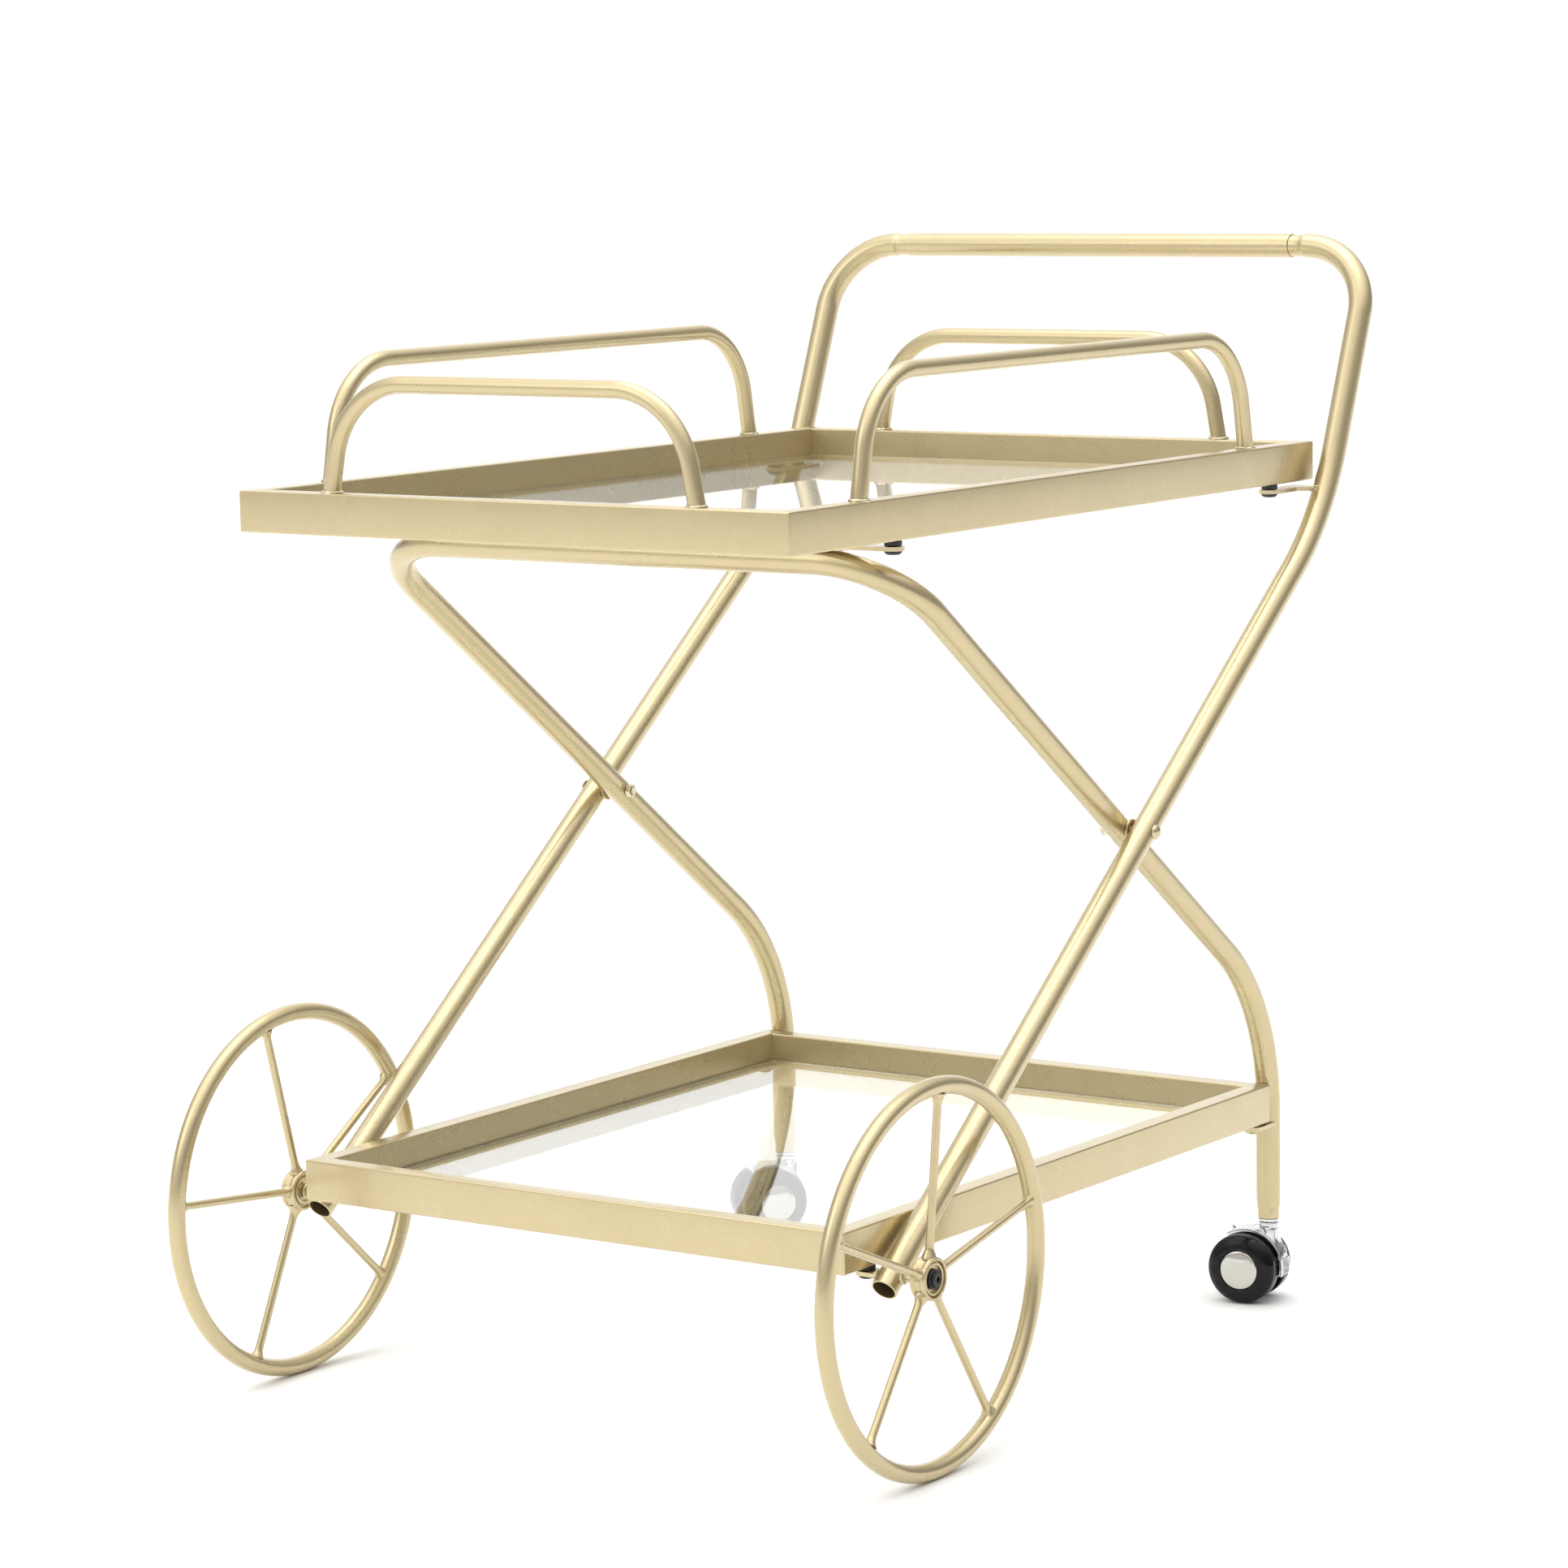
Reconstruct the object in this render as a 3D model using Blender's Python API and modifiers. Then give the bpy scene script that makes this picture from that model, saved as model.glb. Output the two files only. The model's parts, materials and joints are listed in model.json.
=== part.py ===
"""Two-tier serving trolley: crossed bent-tube frames, framed glass trays, two
spoked wheels at the front and two twin-wheel swivel casters at the rear.

+X is the rear (handle and casters), -X the front (spoked wheels), +Z up, and
the trolley is symmetric about the plane y = 0 apart from its casters' swivel.
Stations along X are measured from the front edge of the top tray.
"""

import math

import bmesh
import bpy
from mathutils import Matrix, Vector

# Fits
GAP = 0.0003
RUNNING = 0.0001

# Tubing
TUBE_R = 0.0095
TUBE_WALL = 0.0012
GUARD_R = 0.00625

# Trays
TRAY_LENGTH = 0.720
LOWER_LENGTH = 0.597
LOWER_SETBACK = 0.0505
TRAY_WIDTH = 0.476
TRAY_TOP = 0.671
LOWER_TOP = 0.175
FRAME_HEIGHT = 0.030
FRAME_THICKNESS = 0.015
FRAME_EDGE = 0.0014
GLASS_DEPTH = 0.0215
GLASS_THICKNESS = 0.005
GLASS_PLAY = 0.001
LEDGE_WIDTH = 0.009

# Guard rails, from the tray's top face to the tube's centre line
SIDE_GUARD_HEIGHT = 0.0853
END_GUARD_HEIGHT = 0.0775
SIDE_GUARD_MARGIN = 0.0945
END_GUARD_MARGIN = 0.080
GUARD_LEAN = 10.0
GUARD_BEND = 0.063

# Handle frame, which runs outside the trays
SIDE_GAP = 0.003
HANDLE_TOP = 0.819
HANDLE_OVERHANG = 0.073
KNEE_INSET = 0.0104
KNEE_DROP = 0.059
KNEE_BEND = 0.220
HANDLE_BEND = 0.057
HANDLE_JOINT = 0.0705
NECK_LENGTH = 0.009
NECK_SCALE = 0.93
TAIL = 0.0150

# Caster frame, which runs inside the handle frame
CROSSBAR_STATION = 0.1354
ELBOW_ABOVE_TRAY = 0.0625
ELBOW_BEND = 0.165
CORNER_BEND = 0.065
PIVOT_WASHER = 0.0014

# Spoked wheels
WHEEL_STATION = 0.0925
WHEEL_R = 0.140
RIM_R = 0.0065
SPOKE_R = 0.003
SPOKES = 5
NEAR_FIRST_SPOKE = 86.0
FAR_FIRST_SPOKE = 103.0
HUB_R = 0.0152
HUB_LENGTH = 0.0125
WHEEL_DISH = 0.004
COLLAR_LENGTH = 0.013
COLLAR_R = 0.005
AXLE_R = 0.004

# Brackets and fasteners
TAB_THICKNESS = 0.003
TAB_R = 0.008
COLLAR_HEIGHT = 0.0035
LOW_COLLAR_HEIGHT = 0.0006
CLAMP_HEAD_HEIGHT = 0.0024
CLAMP_HEAD_R = 0.0063
CLAMP_NECK_R = 0.0033
TOP_REAR_CLAMP = 0.0572
LOWER_REAR_CLAMP = 0.0155
PIVOT_R = 0.003
PIVOT_HEAD_R = 0.0056

# Casters
CASTER_HEIGHT = 0.0665
CASTER_TRAIL = 0.016
CASTER_WHEEL_R = 0.0275
CASTER_WEB = 0.014
FENDER_RISE = 0.003
CASTER_WHEEL_WIDTH = 0.0175
CAP_R = 0.0153
STEM_R = 0.004
STEM_LENGTH = 0.030
NEAR_SWIVEL = 98.8
FAR_SWIVEL = 145.3

# Derived positions
HALF_WIDTH = TRAY_WIDTH / 2
RAIL_Y = HALF_WIDTH - FRAME_THICKNESS / 2
HANDLE_Y = HALF_WIDTH + SIDE_GAP + TUBE_R
CASTER_Y = HANDLE_Y - 2 * TUBE_R - PIVOT_WASHER - 2 * GAP
HANDLE_STATION = TRAY_LENGTH + HANDLE_OVERHANG
CENTRE = (WHEEL_STATION - WHEEL_R + HANDLE_STATION + TUBE_R) / 2
TRAY_BOTTOM = TRAY_TOP - FRAME_HEIGHT
LOWER_BOTTOM = LOWER_TOP - FRAME_HEIGHT
TAB_DROP = 2 * GAP + COLLAR_HEIGHT + TAB_THICKNESS
CROSSBAR_Z = TRAY_BOTTOM - TAB_DROP - GAP - TUBE_R


def leg_station():
    """Where the legs stand so that their elbows just clear the lower tray."""
    station = LOWER_SETBACK + LOWER_LENGTH + 2 * GAP + TUBE_R
    drop = CROSSBAR_Z - LOWER_TOP - ELBOW_ABOVE_TRAY
    turn = math.atan2(station - CROSSBAR_STATION, drop)
    above = max(0.0, ELBOW_BEND * math.tan(turn / 2) - ELBOW_ABOVE_TRAY)
    inner = ELBOW_BEND - TUBE_R
    return station + inner - math.sqrt(inner**2 - above**2)


LEG_STATION = leg_station()
AXLE = Vector((WHEEL_STATION, 0, WHEEL_R))
KNEE = Vector((TRAY_LENGTH - KNEE_INSET, 0, TRAY_TOP - KNEE_DROP))
HANDLE = Vector((HANDLE_STATION, 0, HANDLE_TOP))
CROSSBAR = Vector((CROSSBAR_STATION, 0, CROSSBAR_Z))
ELBOW = Vector((LEG_STATION, 0, LOWER_TOP + ELBOW_ABOVE_TRAY))
LEG_END = Vector((LEG_STATION, 0, CASTER_HEIGHT))
HUB_INNER = HANDLE_Y + TUBE_R + COLLAR_LENGTH
HUB_Y = HUB_INNER + HUB_LENGTH / 2
RIM_Y = HUB_Y + WHEEL_DISH


# Scene


def clear_scene():
    """Empty the scene and make the collections for parts and cutters."""
    for obj in list(bpy.data.objects):
        bpy.data.objects.remove(obj, do_unlink=True)
    made = {}
    for name in ("Serving trolley", "Cutters"):
        made[name] = bpy.data.collections.new(name)
        bpy.context.scene.collection.children.link(made[name])
    return made["Serving trolley"], made["Cutters"]


def make_material(name, colour, roughness, metallic, transmission=0.0):
    """A Principled material."""
    material = bpy.data.materials.new(name)
    material.use_nodes = True
    shader = material.node_tree.nodes["Principled BSDF"]
    shader.inputs["Base Color"].default_value = (*colour, 1.0)
    shader.inputs["Roughness"].default_value = roughness
    shader.inputs["Metallic"].default_value = metallic
    shader.inputs["Transmission Weight"].default_value = transmission
    material.diffuse_color = (*colour, 1.0)
    return material


def world(x, y, z):
    """A point from its station, its offset from the middle and its height."""
    return Vector((x - CENTRE, y, z))


def add_object(name, mesh, material, matrix=None, parent=None):
    """A part from a mesh, placed by matrix in its parent's space."""
    obj = bpy.data.objects.new(name, mesh)
    PARTS.objects.link(obj)
    if not mesh.materials:
        mesh.materials.append(material)
    if parent:
        obj.parent = parent
    if matrix:
        obj.matrix_local = matrix
    return obj


def add_empty(name, matrix, parent=None):
    """A marker that carries moving parts, with its origin on their axis."""
    empty = bpy.data.objects.new(name, None)
    PARTS.objects.link(empty)
    empty.empty_display_size = 0.02
    empty.parent = parent
    empty.matrix_local = matrix
    return empty


def as_cutter(obj):
    """Hide an object that only cuts others."""
    for owner in list(obj.users_collection):
        owner.objects.unlink(obj)
    CUTTERS.objects.link(obj)
    obj.hide_render = True
    obj.display_type = "WIRE"
    return obj


def cut(obj, cutter):
    """Subtract a cutter from a part."""
    boolean = obj.modifiers.new("Cut by " + cutter.name, "BOOLEAN")
    boolean.operation = "DIFFERENCE"
    boolean.solver = "EXACT"
    boolean.object = cutter


def join_to(obj, other):
    """Weld another solid to a part, as one body."""
    boolean = obj.modifiers.new("Weld " + other.name, "BOOLEAN")
    boolean.operation = "UNION"
    boolean.solver = "EXACT"
    boolean.object = other


def round_edges(obj, width, segments=2, angle=40.0):
    """Bevel every edge sharper than an angle."""
    bevel = obj.modifiers.new("Rounded edges", "BEVEL")
    bevel.width = width
    bevel.segments = segments
    bevel.limit_method = "ANGLE"
    bevel.angle_limit = math.radians(angle)


# Shapes


def along(axis, origin):
    """The matrix whose Z runs along an axis from an origin."""
    turn = Vector((0, 0, 1)).rotation_difference(Vector(axis).normalized())
    return Matrix.Translation(origin) @ turn.to_matrix().to_4x4()


def filleted(corners, radii, step=10.0, chord=0.018):
    """A path through corners, each rounded to its radius by short chords."""
    path = [Vector(corners[0])]
    for before, corner, after, radius in zip(corners, corners[1:], corners[2:], radii):
        into = (corner - before).normalized()
        out = (after - corner).normalized()
        turn = into.angle(out)
        tangent = radius * math.tan(turn / 2)
        axis = into.cross(out).normalized()
        centre = corner - into * tangent + axis.cross(into) * radius
        start = corner - into * tangent - centre
        count = math.ceil(max(math.degrees(turn) / step, turn * radius / chord))
        for i in range(count + 1):
            path.append(centre + Matrix.Rotation(turn * i / count, 3, axis) @ start)
    path.append(Vector(corners[-1]))
    return path


def swept(name, path, radius, sides=3, scales=None, cyclic=False, caps=True):
    """A mesh swept round along a path, with its caps welded on."""
    curve = bpy.data.curves.new(name, "CURVE")
    curve.dimensions = "3D"
    curve.bevel_depth = radius
    curve.bevel_resolution = sides
    curve.use_fill_caps = caps
    spline = curve.splines.new("POLY")
    spline.points.add(len(path) - 1)
    for i, point in enumerate(path):
        spline.points[i].co = (*point, 1.0)
        if scales:
            spline.points[i].radius = scales[i]
    spline.use_cyclic_u = cyclic
    guide = bpy.data.objects.new(name + " guide", curve)
    PARTS.objects.link(guide)
    bpy.context.view_layer.update()
    graph = bpy.context.evaluated_depsgraph_get()
    mesh = bpy.data.meshes.new_from_object(guide.evaluated_get(graph))
    bpy.data.objects.remove(guide)
    bpy.data.curves.remove(curve)
    weld = bmesh.new()
    weld.from_mesh(mesh)
    bmesh.ops.remove_doubles(weld, verts=weld.verts, dist=1e-6)
    weld.to_mesh(mesh)
    weld.free()
    mesh.name = name
    mesh.shade_smooth()
    return mesh


def add_tube(name, path, radius, wall, material, scales=None):
    """A hollow tube along a path, open at both ends."""
    mesh = swept(name, path, radius, 4, scales, caps=False)
    obj = add_object(name, mesh, material)
    shell = obj.modifiers.new("Wall", "SOLIDIFY")
    shell.thickness = wall
    shell.offset = -1.0
    return obj


def turned(name, profile, material, matrix, steps=32, parent=None, closed=False):
    """A solid of revolution about Z, from a profile that runs top to bottom."""
    mesh = bpy.data.meshes.new(name)
    count = len(profile)
    edges = [(i, i + 1) for i in range(count - 1)]
    if closed:
        edges.append((count - 1, 0))
    mesh.from_pydata([(r, 0, z) for r, z in profile], edges, [])
    obj = add_object(name, mesh, material, matrix, parent)
    screw = obj.modifiers.new("Turn", "SCREW")
    screw.steps = steps
    screw.render_steps = steps
    screw.use_merge_vertices = True
    screw.merge_threshold = 1e-6
    screw.use_smooth_shade = True
    return obj


def ring_profile(inner, outer, bottom, top, edge=0.0):
    """A washer's section, its outer corners taken off by edge."""
    return [
        (inner, top),
        (outer - edge, top),
        (outer, top - edge),
        (outer, bottom + edge),
        (outer - edge, bottom),
        (inner, bottom),
    ]


def rod(name, radius, start, end, steps=24):
    """A mesh cylinder between two points, for cutting and welding."""
    mesh = bpy.data.meshes.new(name)
    shape = bmesh.new()
    length = (end - start).length
    bmesh.ops.create_cone(
        shape, cap_ends=True, segments=steps, radius1=radius, radius2=radius, depth=length
    )
    shape.to_mesh(mesh)
    shape.free()
    obj = bpy.data.objects.new(name, mesh)
    CUTTERS.objects.link(obj)
    obj.matrix_local = along(end - start, (start + end) / 2)
    return as_cutter(obj)


def block(name, low, high):
    """A mesh box between two corners."""
    mesh = bpy.data.meshes.new(name)
    shape = bmesh.new()
    bmesh.ops.create_cube(shape, size=1.0)
    size = high - low
    middle = (low + high) / 2
    bmesh.ops.scale(shape, vec=size, verts=shape.verts)
    bmesh.ops.translate(shape, vec=middle, verts=shape.verts)
    shape.to_mesh(mesh)
    shape.free()
    return mesh


def flat_plate(name, outline, holes, thickness, matrix, material, parent=None):
    """A plate from a flat outline with round holes, its middle plane at z = 0."""
    curve = bpy.data.curves.new(name, "CURVE")
    curve.dimensions = "2D"
    curve.fill_mode = "BOTH"
    curve.extrude = thickness / 2
    loops = [outline]
    for x, y, radius in holes:
        loops.append([(x + radius * c, y + radius * s) for c, s in circle(24)])
    for loop in loops:
        spline = curve.splines.new("POLY")
        spline.points.add(len(loop) - 1)
        for i, (x, y) in enumerate(loop):
            spline.points[i].co = (x, y, 0, 1)
        spline.use_cyclic_u = True
    guide = bpy.data.objects.new(name + " guide", curve)
    PARTS.objects.link(guide)
    bpy.context.view_layer.update()
    graph = bpy.context.evaluated_depsgraph_get()
    mesh = bpy.data.meshes.new_from_object(guide.evaluated_get(graph))
    bpy.data.objects.remove(guide)
    bpy.data.curves.remove(curve)
    weld = bmesh.new()
    weld.from_mesh(mesh)
    bmesh.ops.remove_doubles(weld, verts=weld.verts, dist=1e-6)
    weld.to_mesh(mesh)
    weld.free()
    mesh.name = name
    return add_object(name, mesh, material, matrix, parent)


def circle(count, start=0.0, turn=360.0, whole=True):
    """Cosine and sine pairs round an arc."""
    steps = count if whole else count - 1
    angles = [math.radians(start + turn * i / steps) for i in range(count)]
    return [(math.cos(a), math.sin(a)) for a in angles]


# Frames


def line_meet(a, b, c, d):
    """Where the line a-b crosses the line c-d, all in the XZ plane."""
    u = b - a
    v = d - c
    across = u.x * v.z - u.z * v.x
    t = ((c.x - a.x) * v.z - (c.z - a.z) * v.x) / across
    return a + u * t


PIVOT = line_meet(AXLE, KNEE, CROSSBAR, ELBOW)


def on_side(point, side, offset):
    """A side-view point moved out to one side of the trolley."""
    return world(point.x, side * offset, point.z)


def handle_path(side):
    """One side of the handle frame, from its open foot to the joint in the bar."""
    foot = AXLE - (KNEE - AXLE).normalized() * TAIL
    corners = [on_side(p, side, HANDLE_Y) for p in (foot, KNEE, HANDLE)]
    joint = HANDLE_Y - HANDLE_JOINT
    corners.append(on_side(HANDLE, side, joint + GAP / 2))
    path = filleted(corners, [KNEE_BEND, HANDLE_BEND])
    neck = on_side(HANDLE, side, joint + NECK_LENGTH)
    shoulder = on_side(HANDLE, side, joint + NECK_LENGTH * 1.25)
    path[-1:-1] = [shoulder, neck]
    scales = [1.0] * (len(path) - 2) + [NECK_SCALE] * 2
    return path, scales


def drill_across(name, point, side, radius, inner, outer):
    """A drill through one side of the trolley, along Y."""
    start = on_side(point, side, inner)
    end = on_side(point, side, outer)
    return rod(name, radius, start, end)


def make_handle_side(name, side, drills):
    """A bent side of the handle frame, drilled for its pivot."""
    path, scales = handle_path(side)
    tube = add_tube(name, path, TUBE_R, TUBE_WALL, GOLD, scales)
    for drill in drills:
        cut(tube, drill)
    return tube


def make_handle_bar():
    """The straight grip between the two bent sides."""
    half = HANDLE_Y - HANDLE_JOINT - GAP / 2
    path = [on_side(HANDLE, -1, half), on_side(HANDLE, 1, half)]
    return add_tube("handle_bar", path, TUBE_R, TUBE_WALL, GOLD)


def make_caster_frame(drills):
    """The inner U tube: a crossbar under the top tray and two legs."""
    near = [on_side(p, -1, CASTER_Y) for p in (LEG_END, ELBOW, CROSSBAR)]
    far = [on_side(p, 1, CASTER_Y) for p in (CROSSBAR, ELBOW, LEG_END)]
    bends = [ELBOW_BEND, CORNER_BEND, CORNER_BEND, ELBOW_BEND]
    path = filleted(near + far, bends)
    up = Vector((0, 0, 1))
    path[1:1] = [path[0] + up * 0.004, path[0] + up * 0.010]
    path[-1:-1] = [path[-1] + up * 0.010, path[-1] + up * 0.004]
    scales = [0.90, 0.95] + [1.0] * (len(path) - 4) + [0.95, 0.90]
    tube = add_tube("caster_frame", path, TUBE_R, TUBE_WALL, GOLD, scales)
    for drill in drills:
        cut(tube, drill)
    return tube


# Trays


def make_tray(name, start, length, top):
    """A rectangular frame with an inner ledge under its glass."""
    bottom = top - FRAME_HEIGHT
    low = world(start, -HALF_WIDTH, bottom)
    high = world(start + length, HALF_WIDTH, top)
    frame = add_object(name, block(name, low, high), GOLD)
    inset = Vector((FRAME_THICKNESS, FRAME_THICKNESS, 0))
    ledge_top = top - GLASS_DEPTH - GLASS_THICKNESS - GAP
    well_low = Vector((low.x, low.y, ledge_top)) + inset
    well_high = Vector((high.x, high.y, top + 0.01)) - inset
    well = add_object(name + " well", block(name + " well", well_low, well_high), GOLD)
    inset += Vector((LEDGE_WIDTH, LEDGE_WIDTH, 0))
    window_low = Vector((low.x, low.y, bottom - 0.01)) + inset
    window_high = Vector((high.x, high.y, top + 0.02)) - inset
    window_mesh = block(name + " window", window_low, window_high)
    window = add_object(name + " window", window_mesh, GOLD)
    cut(frame, as_cutter(well))
    cut(frame, as_cutter(window))
    round_edges(frame, FRAME_EDGE, 2)
    return frame


def make_glass(name, start, length, top):
    """The pane that lies on a tray's ledge."""
    inset = FRAME_THICKNESS + GLASS_PLAY
    face = top - GLASS_DEPTH
    low = world(start + inset, -HALF_WIDTH + inset, face - GLASS_THICKNESS)
    high = world(start + length - inset, HALF_WIDTH - inset, face)
    pane = add_object(name, block(name, low, high), GLASS)
    round_edges(pane, 0.0006, 1)
    return pane


def make_guard(name, foot_a, foot_b, height):
    """A guard rail on the top tray's frame, its legs leaning in to its bar."""
    up = Vector((0, 0, height))
    lean = (foot_b - foot_a).normalized() * height * math.tan(math.radians(GUARD_LEAN))
    corners = [foot_a, foot_a + up + lean, foot_b + up - lean, foot_b]
    sole = Vector((0, 0, 0.001))
    path = filleted(corners, [GUARD_BEND] * 2, 12.0)
    path[1:1] = [foot_a + sole]
    path[-1:-1] = [foot_b + sole]
    return add_object(name, swept(name, path, GUARD_R, 3), GOLD)


def make_guards():
    """The four guard rails, one along each side of the top tray."""
    seat = TRAY_TOP + GAP
    rows = (("near", -1), ("far", 1))
    for word, side in rows:
        a = world(SIDE_GUARD_MARGIN, side * RAIL_Y, seat)
        b = world(TRAY_LENGTH - SIDE_GUARD_MARGIN, side * RAIL_Y, seat)
        make_guard("guard_rail_" + word, a, b, SIDE_GUARD_HEIGHT)
    half = FRAME_THICKNESS / 2
    for word, x in (("front", half), ("rear", TRAY_LENGTH - half)):
        reach = HALF_WIDTH - END_GUARD_MARGIN
        a = world(x, -reach, seat)
        b = world(x, reach, seat)
        make_guard("guard_rail_" + word, a, b, END_GUARD_HEIGHT)


# Brackets


def make_tab(name, clamp, direction, length, wide=0.0, side=1, collar=COLLAR_HEIGHT):
    """A flat tab with its hole over a clamp, reaching back to its tube."""
    x, y, tray_bottom = clamp
    middle = tray_bottom - 2 * GAP - collar - TAB_THICKNESS / 2
    turn = math.atan2(direction[1], direction[0])
    matrix = Matrix.Translation(world(x, y, middle)) @ Matrix.Rotation(turn, 4, "Z")
    nose = [(TAB_R * c, TAB_R * s) for c, s in circle(13, -90, 180, False)]
    tail = [(-length, TAB_R), (-length, -TAB_R)]
    if wide:
        reach = TAB_R + wide
        tail = [
            (-length + 0.024, side * TAB_R),
            (-length + 0.014, side * reach),
            (-length, side * reach),
            (-length, -side * TAB_R),
        ]
        if side < 0:
            tail.reverse()
    hole = CLAMP_NECK_R + GAP
    return flat_plate(name, nose + tail, [(0, 0, hole)], TAB_THICKNESS, matrix, GOLD)


def make_clamp(name, clamp, collar):
    """A black grommet: head under the tab, neck through it, collar on top."""
    x, y, tray_bottom = clamp
    top = -GAP
    seat = top - collar
    under = seat - 2 * GAP - TAB_THICKNESS
    head = under - CLAMP_HEAD_HEIGHT
    wide = CLAMP_HEAD_R
    profile = [
        (0, top),
        (wide, top),
        (wide, seat),
        (CLAMP_NECK_R, seat),
        (CLAMP_NECK_R, under),
        (wide, under),
        (wide, head + 0.0014),
        (wide * 0.7, head),
        (0, head),
    ]
    turned(name, profile, BLACK, Matrix.Translation(world(x, y, tray_bottom)), 14)


def foot_station(z):
    """How far back the handle frame's straight foot is at a height."""
    run = TRAY_LENGTH - KNEE_INSET - WHEEL_STATION
    rise = TRAY_TOP - KNEE_DROP - WHEEL_R
    return WHEEL_STATION + (z - WHEEL_R) * run / rise


def clamp_points():
    """Name, position, tab direction and tab length of each bracket."""
    points = []
    for word, side in (("near", -1), ("far", 1)):
        y = side * RAIL_Y
        reach = CASTER_Y - CORNER_BEND
        front = (CROSSBAR_STATION, y, TRAY_BOTTOM)
        points.append(("top_front_" + word, front, (0, side), RAIL_Y - reach))
        rear = TRAY_LENGTH - TOP_REAR_CLAMP
        points.append(("top_rear_" + word, (rear, y, TRAY_BOTTOM), (-1, 0), 0.0))
        front = (foot_station(LOWER_BOTTOM - TAB_DROP), y, LOWER_BOTTOM)
        points.append(("lower_front_" + word, front, (0, -side), 0.0))
        x = LOWER_SETBACK + LOWER_LENGTH - LOWER_REAR_CLAMP
        points.append(("lower_rear_" + word, (x, y, LOWER_BOTTOM), (-1, 0), 0.0))
    return points


def make_brackets():
    """Tabs and clamps under the corners of both trays."""
    for name, clamp, direction, length in clamp_points():
        side = -1 if name.endswith("near") else 1
        low = name.startswith("lower_rear")
        collar = LOW_COLLAR_HEIGHT if low else COLLAR_HEIGHT
        make_clamp("clamp_" + name, clamp, collar)
        if name.startswith("top_front"):
            make_tab("tab_" + name, clamp, direction, length)
        elif name.startswith("lower_front"):
            tab = make_tab("tab_" + name, clamp, direction, HANDLE_Y - RAIL_Y)
            cut(tab, HANDLE_SADDLES[side])
        elif name.startswith("top_rear"):
            level = TRAY_BOTTOM - TAB_DROP + TAB_THICKNESS / 2
            meet = KNEE_SADDLES[side][1]
            length = meet(level) - clamp[0]
            wide = HANDLE_Y - RAIL_Y - TAB_R
            tab = make_tab("tab_" + name, clamp, direction, length, wide, -side)
            cut(tab, KNEE_SADDLES[side][0])
        else:
            length = LEG_STATION - clamp[0]
            tab = make_tab("tab_" + name, clamp, direction, length, collar=collar)
            cut(tab, LEG_SADDLES[side])


# Pivots


def make_pivot(word, side):
    """The bolt, washer and nut where the frames cross on one side."""
    out = Vector((0, side, 0))
    outer = HANDLE_Y + TUBE_R + GAP
    inner = CASTER_Y - TUBE_R - GAP
    head = PIVOT_HEAD_R
    length = outer - inner + 0.0055
    profile = [(0, 0.0034)]
    profile += [(head * math.sin(a), 0.0012 + 0.0022 * math.cos(a)) for a in (0.6, 1.1)]
    profile += [
        (head, 0.0012),
        (head, 0),
        (PIVOT_R, 0),
        (PIVOT_R, -length + 0.0004),
        (PIVOT_R - 0.0004, -length),
        (0, -length),
    ]
    turned("pivot_bolt_" + word, profile, GOLD, along(out, on_side(PIVOT, side, outer)), 16)
    middle = (HANDLE_Y - TUBE_R + CASTER_Y + TUBE_R) / 2
    half = PIVOT_WASHER / 2
    washer = ring_profile(PIVOT_R + GAP, 0.0085, -half, half, 0.0003)
    matrix = along(out, on_side(PIVOT, side, middle))
    turned("pivot_washer_" + word, washer, GOLD, matrix, 24, closed=True)
    flats = math.cos(math.pi / 6)
    nut = ring_profile((PIVOT_R + GAP) / flats, PIVOT_HEAD_R, -0.0040, 0, 0.0004)
    matrix = along(out, on_side(PIVOT, side, inner))
    turned("pivot_nut_" + word, nut, GOLD, matrix, 6, closed=True)


# Spoked wheels


def hub_section():
    """Half of the hub's section, from its outer face to its inner face."""
    half = HUB_LENGTH / 2
    bore = AXLE_R + RUNNING
    return [
        (bore, half - 0.0040),
        (HUB_R * 0.66, half - 0.0040),
        (HUB_R * 0.66, half - 0.0010),
        (HUB_R * 0.76, half - 0.0010),
        (HUB_R * 0.78, half - 0.0028),
        (HUB_R * 0.84, half - 0.0028),
        (HUB_R * 0.86, half),
        (HUB_R, half - 0.0010),
        (HUB_R, half - 0.0035),
        (HUB_R * 0.94, half - 0.0050),
        (HUB_R * 0.94, -half + 0.0050),
        (HUB_R, -half + 0.0035),
        (HUB_R, -half + 0.0010),
        (HUB_R * 0.93, -half),
        (bore, -half),
    ]


def make_wheel(word, side, first_spoke):
    """A round-tube rim and a hub with five welded spokes, on one axle."""
    out = Vector((0, side, 0))
    axle = add_empty("axle_line_" + word, Matrix.Translation(on_side(AXLE, side, HUB_Y)))
    middle = WHEEL_R - RIM_R
    dish = Vector((0, side * WHEEL_DISH, 0))
    loop = [Vector((middle * c, 0, middle * s)) + dish for c, s in circle(60)]
    rim_mesh = swept("wheel_rim_" + word, loop, RIM_R, 2, cyclic=True, caps=False)
    add_object("wheel_rim_" + word, rim_mesh, GOLD, Matrix(), axle)
    facing = along(out, Vector((0, 0, 0)))
    name = "wheel_spider_" + word
    spider = turned(name, hub_section(), GOLD, facing, 24, axle, closed=True)
    centre = on_side(AXLE, side, HUB_Y)
    reach = WHEEL_R - 2 * RIM_R - GAP
    for i in range(SPOKES):
        angle = math.radians(first_spoke + 360.0 / SPOKES * i)
        ray = Vector((math.cos(angle), 0, math.sin(angle)))
        start = centre + ray * (HUB_R * 0.88)
        end = centre + ray * reach + dish
        join_to(spider, rod(f"{name} spoke {i + 1}", SPOKE_R, start, end, 10))
    return axle


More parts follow.
